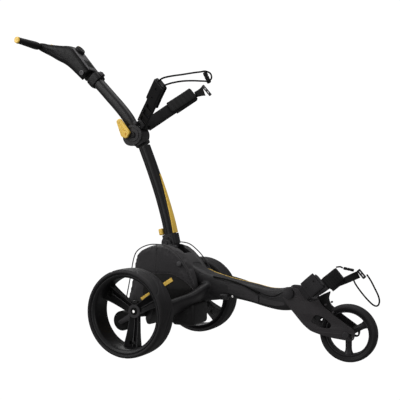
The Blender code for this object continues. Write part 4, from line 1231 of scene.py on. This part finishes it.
def lower_cradle():
    """The U-shaped band over the fork, its foot block, side blocks and rubber pads."""
    whole = mirrored(LOWER_BAND[:0:-1], -1) + LOWER_BAND
    cradle = band("lower_cradle_band", CRADLE_FOOT, whole, LOWER_FOOT_HALF, BAND)
    outline = [(0.556, 0.205), (0.59, 0.205), (0.596, 0.185), (0.578, 0.168), (0.563, 0.172), (0.552, 0.195)]
    block = bevel(plate("block", rounded(outline, 0.005, 4), -PLATE_IN + 0.0004, PLATE_IN - 0.0004), 0.0015)
    union(cradle, block)
    show(cradle, SATIN, "fork", "lower_cradle", crease=32)
    offset = BAND + PAD_HALF + 0.0003
    for sign, label in SIDES:
        points = mirrored(LOWER_BAND[3:], sign)
        ribbed_pad(
            f"lower_pad_{label}_ribs", "fork", CRADLE_FOOT, points, LOWER_HALF_WIDTH - 0.001, LOWER_ALONG,
            sign * offset, [f"lower_pad_{label}"],
        )
        shell = mirrored([(0.1105, 0.036), (0.118, 0.062), (0.119, 0.09)], sign)
        cover = band(
            f"lower_side_block_{label}", CRADLE_FOOT, shell, LOWER_HALF_WIDTH + 0.002, BAND,
            LOWER_ALONG - sign * 0.005, power=7, steps=5,
        )
        show(cover, SATIN, "fork", crease=32)
        for k, n in enumerate((0.046, 0.078)):
            place = on_bag(CRADLE_FOOT, sign * (0.1175 if k == 0 else 0.1232), n, 0.008)
            screw(f"lower_block_screw_{label}_{k}", place, ACROSS * sign, "fork", 0.0032, DEEP)


def upper_cradle():
    """The forked arms at the mid joint: pocketed lower halves, pad blocks, screws and rubber pads."""
    centre = on_bag(MID_JOINT, 0, 0.051, UPPER_ALONG)
    yoke = box("upper_cradle_yoke", centre, (0.024, 0.052, 0.036), BAG_OUT, BAG_AXIS, soft=0.003)
    arms = []
    for sign in (-1, 1):
        arms.append(
            band(
                "arm", MID_JOINT, mirrored(UPPER_ARM, sign), UPPER_HALF_WIDTH, BAND * 1.2,
                UPPER_ALONG - sign * 0.004, power=6,
            ),
        )
    union(yoke, *arms)
    pockets = []
    for sign in (-1, 1):
        for y, n, long, wide in (
            (0.033, 0.07, 0.02, 0.03), (0.05, 0.101, 0.024, 0.032), (0.0645, 0.13, 0.016, 0.032)
        ):
            at = on_bag(MID_JOINT, sign * y, n, UPPER_ALONG)
            run = (BAG_OUT * 0.85 + ACROSS * sign * 0.52).normalized()
            face = run.cross(BAG_AXIS)
            pockets.append(
                box("pocket", at + face * (0.003 * sign), (long, 0.007, wide), run, BAG_AXIS, soft=0.0012)
            )
    cut(yoke, *pockets)
    show(yoke, HARD, "mast", "upper_cradle", crease=32)
    offset = BAND + PAD_HALF + 0.0003
    for sign, label in SIDES:
        points = mirrored(UPPER_ARM[2:], sign)
        ribbed_pad(
            f"upper_pad_{label}_ribs", "mast", MID_JOINT, points, UPPER_HALF_WIDTH - 0.001, UPPER_ALONG,
            sign * offset, [f"upper_pad_{label}"],
        )
        outer = mirrored([(0.08, 0.156), (0.102, 0.193), (0.127, 0.238)], sign)
        block = band(
            f"upper_pad_block_{label}", MID_JOINT, outer, UPPER_HALF_WIDTH + 0.001, BAND * 1.3,
            UPPER_ALONG - sign * 0.004, power=7, steps=5,
        )
        show(block, HARD, "mast", crease=32)
        for k, (y, n) in enumerate(((0.099, 0.175), (0.122, 0.213))):
            place = on_bag(MID_JOINT, sign * y, n, UPPER_ALONG + 0.004)
            face = (ACROSS * sign * 0.86 - BAG_OUT * 0.5).normalized()
            screw(f"upper_block_screw_{label}_{k}", place, face, "mast", 0.0034, DEEP)
    cap = [(0, 0.0), (0.0085, 0.0), (0.0085, 0.016), (0.007, 0.018), (0, 0.018)]
    for sign, label in SIDES:
        knob = turned(
            f"arm_pivot_cap_{label}", chamfered(cap, 0.0008), on_bag(MID_JOINT, sign * 0.026, 0.04, 0.022),
            ACROSS * sign, 40,
        )
        show(knob, SATIN, "mast")


UPPER_BUNGEE = [
    (0.031, -0.125, 0.954), (0.046, -0.115, 0.965), (0.065, -0.085, 0.975), (0.082, -0.04, 0.986),
    (0.099, 0.015, 1.0), (0.109, 0.05, 1.008), (0.122, 0.066, 1.012), (0.14, 0.07, 1.003),
    (0.146, 0.068, 0.985), (0.136, 0.062, 0.974), (0.118, 0.045, 0.9725), (0.102, 0.0, 0.968),
    (0.085, -0.05, 0.96), (0.068, -0.095, 0.948), (0.053, -0.124, 0.936),
]
LOWER_BUNGEE = [
    (0.609, 0.108, 0.298), (0.625, 0.096, 0.301), (0.637, 0.08, 0.2995),
]
LOWER_LOOP = [
    (0.72, 0.083, 0.28), (0.733, 0.08, 0.262), (0.747, 0.076, 0.238), (0.76, 0.074, 0.212),
    (0.764, 0.073, 0.193), (0.758, 0.073, 0.179), (0.744, 0.074, 0.18), (0.723, 0.077, 0.197),
    (0.7, 0.082, 0.221), (0.681, 0.088, 0.244), (0.672, 0.095, 0.258),
]
LOOP_DIAMETER = 0.0056


def webbing(name, foot, rows, body, node_name):
    """A flat strap from (across, out, along the bag, half width) rows."""
    stations = smooth([(*on_bag(foot, y, n, a), half, 0.0011) for y, n, a, half in rows], 6)
    show(loft(name, stations, side=BAG_AXIS, power=8, count=20), WEBBING, body, node_name)


def buckle(name, centre, size, body, node_name):
    """A moulded bar with two slots that the strap is sewn through."""
    bar = box(name, centre, size, BAG_OUT, BAG_AXIS, soft=0.0022)
    slots = []
    for k in (-1, 1):
        slots.append(
            box(
                "slot", Vector(centre) + BAG_AXIS * (size[2] * 0.18 * k),
                (size[0] * 0.3, 0.03, size[2] * 0.26), BAG_OUT, BAG_AXIS, soft=0.0008,
            ),
        )
    show(cut(bar, *slots), SATIN, body, node_name)


def toggle(name, start, end, radius, body, node_name):
    """A cord toggle: a waisted barrel with two grooves."""
    start, end = Vector(start), Vector(end)
    long = (end - start).length
    shape = [(0, 0), (0.75, 0), (0.95, 0.03), (1, 0.08), (1, 0.3), (0.86, 0.33), (0.86, 0.4), (1, 0.43)]
    shape += [(1, 0.57), (0.86, 0.6), (0.86, 0.67), (1, 0.7), (1, 0.92), (0.95, 0.97), (0.75, 1), (0, 1)]
    profile = [(r * radius, t * long) for r, t in shape]
    show(turned(name, profile, start, end - start, 32), HARD, body, node_name)


def straps_and_cords():
    """Webbing ends, buckle bars, toggles and elastic cords of both cradles."""
    rows = [(0.1265, 0.245, 0.002, 0.011), (0.118, 0.268, -0.011, 0.014), (0.1092, 0.285, -0.021, 0.019)]
    webbing("upper_strap_webbing", MID_JOINT, rows, "mast", "upper_strap")
    buckle(
        "upper_buckle_bar", on_bag(MID_JOINT, 0.1045, 0.2965, -0.03), (0.011, 0.008, 0.052), "mast",
        "upper_buckle",
    )
    toggle(
        "bungee_toggle_barrel", (0.113, 0.078, 1.01), (0.132, 0.078, 0.97), 0.0085, "mast", "bungee_toggle"
    )
    show(tube("upper_bungee_cord", UPPER_BUNGEE, 0.0032, 6), BRAID, "mast", "upper_bungee")
    rows = [
        (0.118, 0.07, -0.026, 0.011), (0.112, 0.1, -0.034, 0.012), (0.1, 0.128, -0.041, 0.0125),
        (0.0925, 0.15, -0.047, 0.0125),
    ]
    webbing("lower_strap_webbing", CRADLE_FOOT, rows, "fork", "lower_strap")
    buckle(
        "lower_buckle_bar", on_bag(CRADLE_FOOT, 0.089, 0.16, -0.052), (0.013, 0.009, 0.036), "fork",
        "lower_buckle",
    )
    toggle(
        "lower_toggle_barrel", (0.642, 0.078, 0.2985), (0.677, 0.078, 0.2925), 0.005, "fork", "lower_toggle"
    )
    show(tube("lower_bungee_cord", LOWER_BUNGEE, 0.0028, 6), BRAID, "fork", "lower_bungee")


def hanging_loop():
    """The elastic loop that hangs from the lower buckle: a curve, so that its own line is its centreline."""
    points = smooth(LOWER_LOOP, 6)
    placed_points = [Vector(point) + PLACE for point in points]
    curve = round_curve("lower_loop_cord", placed_points, LOOP_DIAMETER / 2, 4)
    curve.materials.append(BRAID)
    loop = bpy.data.objects.new("lower_loop_cord", curve)
    bpy.context.scene.collection.objects.link(loop)
    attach(loop, "fork")
    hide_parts("lower_loop")


# ---------------- mast
LOWER_TUBE = [
    (0.01, 0, 0.4, 0.0195, 0.0225),
    (-0.005, 0, 0.463, 0.0195, 0.0225),
    (-0.033, 0, 0.554, 0.0195, 0.0225),
    (-0.067, 0, 0.645, 0.0195, 0.0225),
    (-0.1035, 0, 0.733, 0.0195, 0.0225),
]
UPPER_TUBE = [
    (-0.137, 0, 0.777, 0.019, 0.022),
    (-0.157, 0, 0.815, 0.019, 0.022),
    (-0.18, 0, 0.85, 0.019, 0.022),
    (-0.216, 0, 0.891, 0.019, 0.022),
    (-0.257, 0, 0.933, 0.019, 0.022),
    (-0.298, 0, 0.975, 0.019, 0.022),
    (-0.333, 0, 1.01, 0.019, 0.022),
]
TUBE_POWER = 2.35
TUBE_GAP = 0.0003
CHEEK_IN = 0.0197
CHEEK_OUT = 0.03
JOINT_RADIUS = 0.038


def grooved_section():
    """The tube's section: a soft oval with a shallow groove down the middle of each side."""
    points = []
    for u, v in section(72, TUBE_POWER):
        if abs(u) > 0.7:
            dip = max(0.0, 1 - abs(v - 0.18) / 0.13)
            u -= copysign(0.085 * dip * dip * (3 - 2 * dip), u)
        points.append((u, v))
    return points


def clear_room(stations):
    """A tool that clears a tube by a hair."""
    return loft("tube_room", smooth(grown(stations, TUBE_GAP), 4), unit=section(48, TUBE_POWER))


def lower_tube():
    """The curved lower tube and its yellow inlay, which widens downward on the front."""
    pole = loft("mast_lower_tube", smooth(LOWER_TUBE, 8), unit=grooved_section())
    show(pole, TUBE, "mast", "lower_tube", crease=50)
    insert = []
    top = 0.632
    for px, _, pz, _, _ in smooth(LOWER_TUBE, 8):
        if 0.404 < pz < top:
            insert.append((px, pz, 0.016 * (top - pz) / (top - 0.404) + 0.0022))
    rows = [(x + 0.0218, 0, z + 0.006, width, 0.0036) for x, z, width in insert]
    strip = loft("mast_inlay", rows, power=3, count=28)
    room = loft("strip_room", smooth(grown(LOWER_TUBE, -0.0004), 8), unit=section(72, TUBE_POWER))
    show(cut(strip, room), YELLOW, "mast", "tube_insert", crease=40)


def mast_foot():
    """The folding knuckle with its collar, and the yellow latch behind it."""
    x, z = MAST_PIVOT.x, MAST_PIVOT.z
    knuckle = crossbar("mast_foot_knuckle", (x, 0, z), 0.023, 0.0265, 64)
    wide, high = 0.023, 0.0285
    rows = [(0.018, 0, 0.366, wide, high), (0.011, 0, 0.395, wide, high), (0.009, 0, 0.404, wide, high)]
    collar = loft("collar", smooth(rows, 4), power=4.2, count=48)
    union(knuckle, bevel(collar, 0.0015, 2))
    lines = []
    for sign in (-1, 1):
        lines.append(
            box(
                "line", (0.024, sign * 0.0235, 0.392), (0.0022, 0.003, 0.04), (0.97, 0, 0.24),
                (-0.24, 0, 0.97),
            ),
        )
    tube_room = clear_room(LOWER_TUBE)
    cut(knuckle, *lines, tube_room)
    show(knuckle, CASTING, "mast", "mast_knuckle", crease=32)
    pin = turned("foot_screw", chamfered(disc(0.006, 0.0225, 0.0245), 0.0006), (0.011, 0, 0.388), -ACROSS, 32)
    show(pin, HARD, "mast")
    latch = box(
        "mast_latch_tab", (-0.025, 0, 0.412), (0.017, 0.03, 0.024), (0.974, 0, 0.225), (-0.225, 0, 0.974),
        soft=0.0035,
    )
    ribs = []
    for k in range(3):
        ribs.append(
            box(
                "rib", (-0.0352, 0, 0.406 + 0.006 * k), (0.004, 0.024, 0.0016), (0.974, 0, 0.225),
                (-0.225, 0, 0.974),
            ),
        )
    show(cut(latch, *ribs), YELLOW, "latch", "mast_latch")


def mid_joint():
    """The folding joint: round clevis with a ring groove and a rear lobe, its neck and side caps."""
    x, z = MID_JOINT.x, MID_JOINT.z
    clevis = crossbar("mid_joint_clevis", (x, 0, z), CHEEK_OUT, JOINT_RADIUS, 80)
    union(
        clevis,
        rod(
            "rear_lobe", (x - 0.009, -CHEEK_OUT, z - 0.005), (x - 0.009, CHEEK_OUT, z - 0.005),
            JOINT_RADIUS - 0.002, 72,
        ),
    )
    bevel(clevis, 0.0035, 3)
    neck = [
        (-0.126, 0, 0.77, 0.0285, 0.027), (-0.118, 0, 0.756, 0.0265, 0.0265),
        (-0.109, 0, 0.74, 0.0235, 0.025),
    ]
    union(clevis, bevel(loft("neck", smooth(neck, 4), power=3.6, count=48), 0.0015))
    inner = JOINT_RADIUS - 0.0007
    grooves = []
    for sign in (-1, 1):
        ring = [(0.025, 0.028), (0.029, 0.028), (0.029, 0.034), (0.025, 0.034)]
        grooves.append(turned("ring", facing(ring, sign), MID_JOINT, steps=72))
    cut(
        clevis,
        crossbar("tongue_room", (x, 0, z), CHEEK_IN, inner, 72),
        box("swing_room", (x - 0.048, 0, z + 0.01), (0.09, 2 * CHEEK_IN, 0.11)),
        box("upper_room", (x, 0, z + 0.04), (0.07, 2 * CHEEK_IN, 0.05)),
        clear_room(LOWER_TUBE),
        *grooves,
    )
    show(clevis, CASTING, "mast", "joint_housing", crease=32)
    for sign, label in SIDES:
        cap = chamfered(
            [(0, 0.0285), (0.0115, 0.0285), (0.0115, 0.0325), (0.0095, 0.0338), (0, 0.0338)], 0.0005
        )
        show(turned(f"joint_cap_{label}", cap, MID_JOINT, ACROSS * sign, 48), HARD, "mast")


def upper_tube():
    """The upper tube with its round tongue, and the yellow clamp lever beside it."""
    pole = loft("mast_upper_tube", smooth(UPPER_TUBE, 6), power=2.6, count=56)
    x, z = MID_JOINT.x, MID_JOINT.z
    half = CHEEK_IN - 0.0006
    union(pole, crossbar("tongue", (x, 0, z), half, 0.0362, 72))
    show(pole, TUBE, "handle", "upper_tube", crease=40)
    low, high = corners("cam_lever")
    outline = rounded(
        [(-0.203, 0.832), (-0.187, 0.842), (-0.143, 0.787), (-0.158, 0.764), (-0.18, 0.771)], 0.007, 6
    )
    lever = bevel(plate("clamp_lever", outline, low.y, high.y), 0.0028, 4)
    dent = turned("dent", disc(0.0045, 0.0, 0.006), (-0.16, low.y - 0.003, 0.779), ACROSS, 32)
    dish = tube(
        "dish",
        [(-0.19, low.y - 0.0035, 0.826), (-0.176, low.y - 0.0035, 0.806), (-0.165, low.y - 0.0035, 0.79)],
        0.0052,
        5,
    )
    show(cut(lever, dent, dish), YELLOW, "lever", "cam_lever", crease=40)


def head_collar():
    """The clamp collar on the tube's end, its lug, hinge bolt and angle button."""
    rows = []
    for along, out, half_height in ((0.277, 0.0045, 0.0285), (0.29, 0.0035, 0.031), (0.312, 0.002, 0.031)):
        rows.append((*on_bag(MID_JOINT, 0, out, along), 0.0235, half_height))
    collar = bevel(loft("head_clamp_collar", smooth(rows, 4), power=3.4, count=56), 0.0018)
    lug_half = 0.01
    lug_path = [on_bag(MID_JOINT, 0, 0.0, 0.3), HEAD_PIVOT]
    lug = loft("lug", [(*p, lug_half, 0.013) for p in lug_path], power=8, count=32)
    eye = crossbar("eye", HEAD_PIVOT, lug_half, 0.013, 48)
    union(collar, lug, eye)
    pocket_size = (0.0222, 0.0206, 0.02)
    pocket = box("pocket", on_bag(MID_JOINT, 0, 0.039, 0.2935), pocket_size, -BAG_AXIS, BAG_OUT)
    seam = box("seam", on_bag(MID_JOINT, 0, -0.03, 0.293), (0.04, 0.0022, 0.03), BAG_AXIS, BAG_OUT)
    cut(collar, clear_room(UPPER_TUBE), pocket, seam)
    show(collar, HARD, "handle", "head_collar", crease=32)
    size = (0.021, 0.0194, 0.011)
    tab = box("angle_tab", ANGLE_SEAT + BAG_OUT * 0.0058, size, -BAG_AXIS, BAG_OUT, soft=0.003)
    show(tab, SATIN, "angle", "angle_button")
    bolt = turned("head_hinge_bolt", disc(0.005, -0.0345, 0.0345), HEAD_PIVOT, steps=32)
    for sign in (-1, 1):
        cap = chamfered([(0, 0.0343), (0.0105, 0.0343), (0.0105, 0.0378), (0, 0.0378)], 0.001)
        union(bolt, turned("cap", cap, HEAD_PIVOT, ACROSS * sign, 48))
        cut(bolt, turned("socket", disc(0.0048, 0.0362, 0.04), HEAD_PIVOT, ACROSS * sign, 6))
    show(bolt, PALE, "handle", "head_bolt", crease=25)


# ---------------- handle head
HEAD = [
    (-0.598, 0, 1.16, 0.03, 0.009),
    (-0.586, 0, 1.157, 0.034, 0.0165),
    (-0.5505, 0, 1.1435, 0.036, 0.021),
    (-0.521, 0, 1.1335, 0.036, 0.0258),
    (-0.489, 0, 1.122, 0.036, 0.0318),
    (-0.4433, 0, 1.1065, 0.036, 0.039),
    (-0.4138, 0, 1.0798, 0.035, 0.0345),
    (-0.3851, 0, 1.0504, 0.034, 0.031),
    (-0.362, 0, 1.024, 0.032, 0.027),
]
COVER_FLOOR = 0.0155
COVER_TOP = 0.0203
GRIP_START = 0.038
BAR = Vector((-0.587, 0, 1.156))
BAR_HALF_LENGTH = 0.165
BAR_RADIUS = 0.0125
CAP_THICK = 0.0055


def head_housing():
    """The head's shell, with a seam between its halves, and the core of the cross bar."""
    shell = loft("head_shell", smooth(HEAD, 6), power=3.2, count=48)
    core = BAR_HALF_LENGTH - CAP_THICK - 0.0003
    bar = crossbar("bar", BAR, core, 0.009, 32)
    union(shell, bar)
    slope_top = on_bag(MID_JOINT, 0, COVER_FLOOR + 0.05, 0.383)
    seams = []
    for sign in (-1, 1):
        line = [
            (-0.592, 1.1575), (-0.5439, 1.1385), (-0.492, 1.1135), (-0.4482, 1.0865), (-0.4086, 1.0545),
            (-0.366, 1.015),
        ]
        seams.append(tube("seam", [(x, sign * 0.0372, z) for x, z in line], 0.0022, 6, 2))
    cut(
        shell,
        box("slope", slope_top, (0.148, 0.1, 0.1), BAG_AXIS, BAG_OUT),
        box("lug_room", on_bag(MID_JOINT, 0, 0, 0.3235), (0.08, 0.0206, 0.2), BAG_AXIS, BAG_OUT),
        box("end_room", on_bag(MID_JOINT, 0, 0, 0.28), (0.1, 0.12, 0.2), BAG_AXIS, BAG_OUT),
        crossbar("bolt_hole", HEAD_PIVOT, 0.06, 0.0053, 32),
        rod("button_room", POWER_SEAT - BUTTON_OUT * 0.0035, POWER_SEAT + BUTTON_OUT * 0.02, 0.0147, 48),
        *seams,
    )
    bevel(shell, 0.0012, 2, 50)
    show(shell, HARD, "head", "head_housing", crease=35)


def knurled(angle, radius, offset):
    """Shallow flutes round the dial's rim."""
    if radius > 0.0185 and offset > 0.002:
        return 0.0006 * (0.5 + 0.5 * cos(28 * angle))
    return 0


def head_controls():
    """The pale sloping cover with a plain window, the speed dial and the yellow power button."""
    centre = on_bag(MID_JOINT, 0, (COVER_FLOOR + COVER_TOP) / 2 + 0.0002, 0.394)
    thick = COVER_TOP - COVER_FLOOR - 0.0003
    cover = box("head_cover_panel", centre, (0.122, 0.06, thick), BAG_AXIS, BAG_OUT, soft=0.0016)
    window = box("window", on_bag(MID_JOINT, 0, COVER_TOP, 0.368), (0.04, 0.04, 0.0016), BAG_AXIS, BAG_OUT)
    show(cut(cover, window), PALE, "head", "head_cover")
    glass = box(
        "head_window", on_bag(MID_JOINT, 0, COVER_TOP - 0.0008, 0.368), (0.0396, 0.0396, 0.0012), BAG_AXIS,
        BAG_OUT, soft=0.0003,
    )
    show(glass, DEEP, "head")
    for k, (y, along) in enumerate(((-0.025, 0.338), (0.025, 0.338))):
        screw(f"cover_screw_{k}", on_bag(MID_JOINT, y, COVER_TOP, along), BAG_OUT, "head", 0.0026, DEEP)
    dial = [
        (0, 0), (0.02, 0), (0.0206, 0.0012), (0.0206, 0.004), (0.02, 0.0085), (0.0192, 0.0112),
        (0.0178, 0.0123), (0.013, 0.0125), (0.012, 0.0118), (0, 0.0116),
    ]
    knob = turned("speed_dial_knob", dial, DIAL_SEAT, BAG_OUT, 112, knurled)
    show(knob, HARD, "dial", "speed_dial", crease=30)
    mark = box(
        "dial_mark", DIAL_SEAT + BAG_OUT * 0.0125 + BAG_AXIS * 0.0155, (0.006, 0.0016, 0.0008), BAG_AXIS,
        BAG_OUT,
    )
    show(mark, YELLOW, "dial")
    face = [
        (0, -0.0005), (0.014, -0.0005), (0.014, 0.0033), (0.0132, 0.0046), (0.0115, 0.0052),
        (0.005, 0.0048), (0, 0.0046),
    ]
    show(turned("power_button_cap", face, POWER_SEAT, BUTTON_OUT, 64), YELLOW, "power", "power_button")


def finger_ribs(angle, radius, offset):
    """Narrow rings let into the underside of a grip."""
    if radius > 0.0125 and 0.068 < abs(offset) < 0.135 and cos(angle) < 0.3:
        return 0.0007 * max(0.0, cos(offset * 900)) ** 3
    return 0


def grips():
    """Soft grips with a seam and a flared inner end, and yellow end caps."""
    core = BAR_HALF_LENGTH - CAP_THICK - 0.0003
    for sign, label in SIDES:
        skin = smooth(
            [
                (0.0148, GRIP_START + 0.001), (0.0158, 0.05), (0.0156, 0.066), (0.0146, 0.09),
                (0.0138, 0.115), (0.013, 0.136), (BAR_RADIUS, core),
            ],
            5,
        )
        profile = [(0.0093, GRIP_START), (0.014, GRIP_START), *skin, (0.0093, core)]
        grip = turned(f"grip_{label}_skin", facing(profile, sign), BAR, steps=72, relief=finger_ribs)
        show(grip, GRIP, "head", f"grip_{label}", crease=50)
        ring = [
            (0.0126, core - 0.0005), (0.0133, core - 0.0005), (0.0133, core - 0.0045),
            (0.0126, core - 0.0045),
        ]
        show(turned(f"grip_band_{label}", facing(ring, sign), BAR, steps=64), HARD, "head")
        cap = [
            (0, core + 0.0003), (BAR_RADIUS, core + 0.0003), (BAR_RADIUS, BAR_HALF_LENGTH - 0.002),
            (BAR_RADIUS - 0.002, BAR_HALF_LENGTH), (0.006, BAR_HALF_LENGTH), (0, BAR_HALF_LENGTH - 0.0005),
        ]
        show(
            turned(f"grip_cap_{label}_disc", facing(cap, sign), BAR, steps=64), YELLOW, "head",
            f"grip_cap_{label}", crease=40,
        )


# ---------------- light and camera
WORLD_LIGHT = 0.2
WORLD_SEEN = 1.05
LAMPS = [
    ("key", (-1.9, -2.0, 2.2), (0.0, 0.0, 0.35), 1.8, 48),
    ("fill", (2.6, -1.6, 1.2), (0.1, 0.0, 0.4), 1.6, 16),
    ("top", (0.2, 0.3, 3.2), (0.0, 0.0, 0.3), 2.4, 46),
    ("rim", (-2.2, 2.2, 2.0), (0.0, 0.0, 0.5), 1.6, 20),
    ("low", (-1.2, -2.4, 0.15), (0.1, 0.0, 0.2), 1.4, 10),
]
CAMERA_PLACE = Vector((1.266, -2.243, 0.531))
CAMERA_AZIMUTH = radians(26.81)
CAMERA_LENS = 62.08
SENSOR_WIDTH = 36
def stage_and_light():
    """A white surround that lights the trolley dimly, and soft lamps above, in front and behind."""
    world = bpy.data.worlds.new("studio")
    bpy.context.scene.world = world
    world.use_nodes = True
    tree = world.node_tree
    background = tree.nodes["Background"]
    ray = tree.nodes.new("ShaderNodeLightPath")
    level = tree.nodes.new("ShaderNodeMapRange")
    level.inputs["To Min"].default_value = WORLD_LIGHT
    level.inputs["To Max"].default_value = WORLD_SEEN
    tree.links.new(ray.outputs["Is Camera Ray"], level.inputs["Value"])
    tree.links.new(level.outputs["Result"], background.inputs["Strength"])
    background.inputs["Color"].default_value = (1, 1, 1, 1)

    for row in LAMPS:
        lamp(*row)


def lamp(name, place, target, size, power):
    """A square soft box that faces a target."""
    light = bpy.data.lights.new(name, "AREA")
    light.size = size
    light.energy = power
    obj = bpy.data.objects.new(name, light)
    bpy.context.scene.collection.objects.link(obj)
    obj.location = place
    obj.rotation_euler = (Vector(target) - Vector(place)).to_track_quat("-Z", "Y").to_euler()


def camera():
    """A level camera beside the right of the front wheel, at half the handle's height."""
    view = bpy.data.cameras.new("camera")
    view.lens = CAMERA_LENS
    view.sensor_width = SENSOR_WIDTH
    obj = bpy.data.objects.new("camera", view)
    bpy.context.scene.collection.objects.link(obj)
    obj.location = PLACE + CAMERA_PLACE
    look = Vector((-sin(CAMERA_AZIMUTH), cos(CAMERA_AZIMUTH), 0))
    obj.rotation_euler = look.to_track_quat("-Z", "Y").to_euler()
    bpy.context.scene.camera = obj


camera()
hanging_loop()
rear_wheels()
front_wheel()
anti_tip()
chassis_frame()
side_panels()
top_line()
drive_train()
electronics_and_tray()
battery_case()
case_trim()
fork()
lower_cradle()
upper_cradle()
straps_and_cords()
lower_tube()
mast_foot()
mid_joint()
upper_tube()
head_collar()
head_housing()
head_controls()
grips()
stage_and_light()
bpy.context.scene.view_settings.view_transform = "Standard"
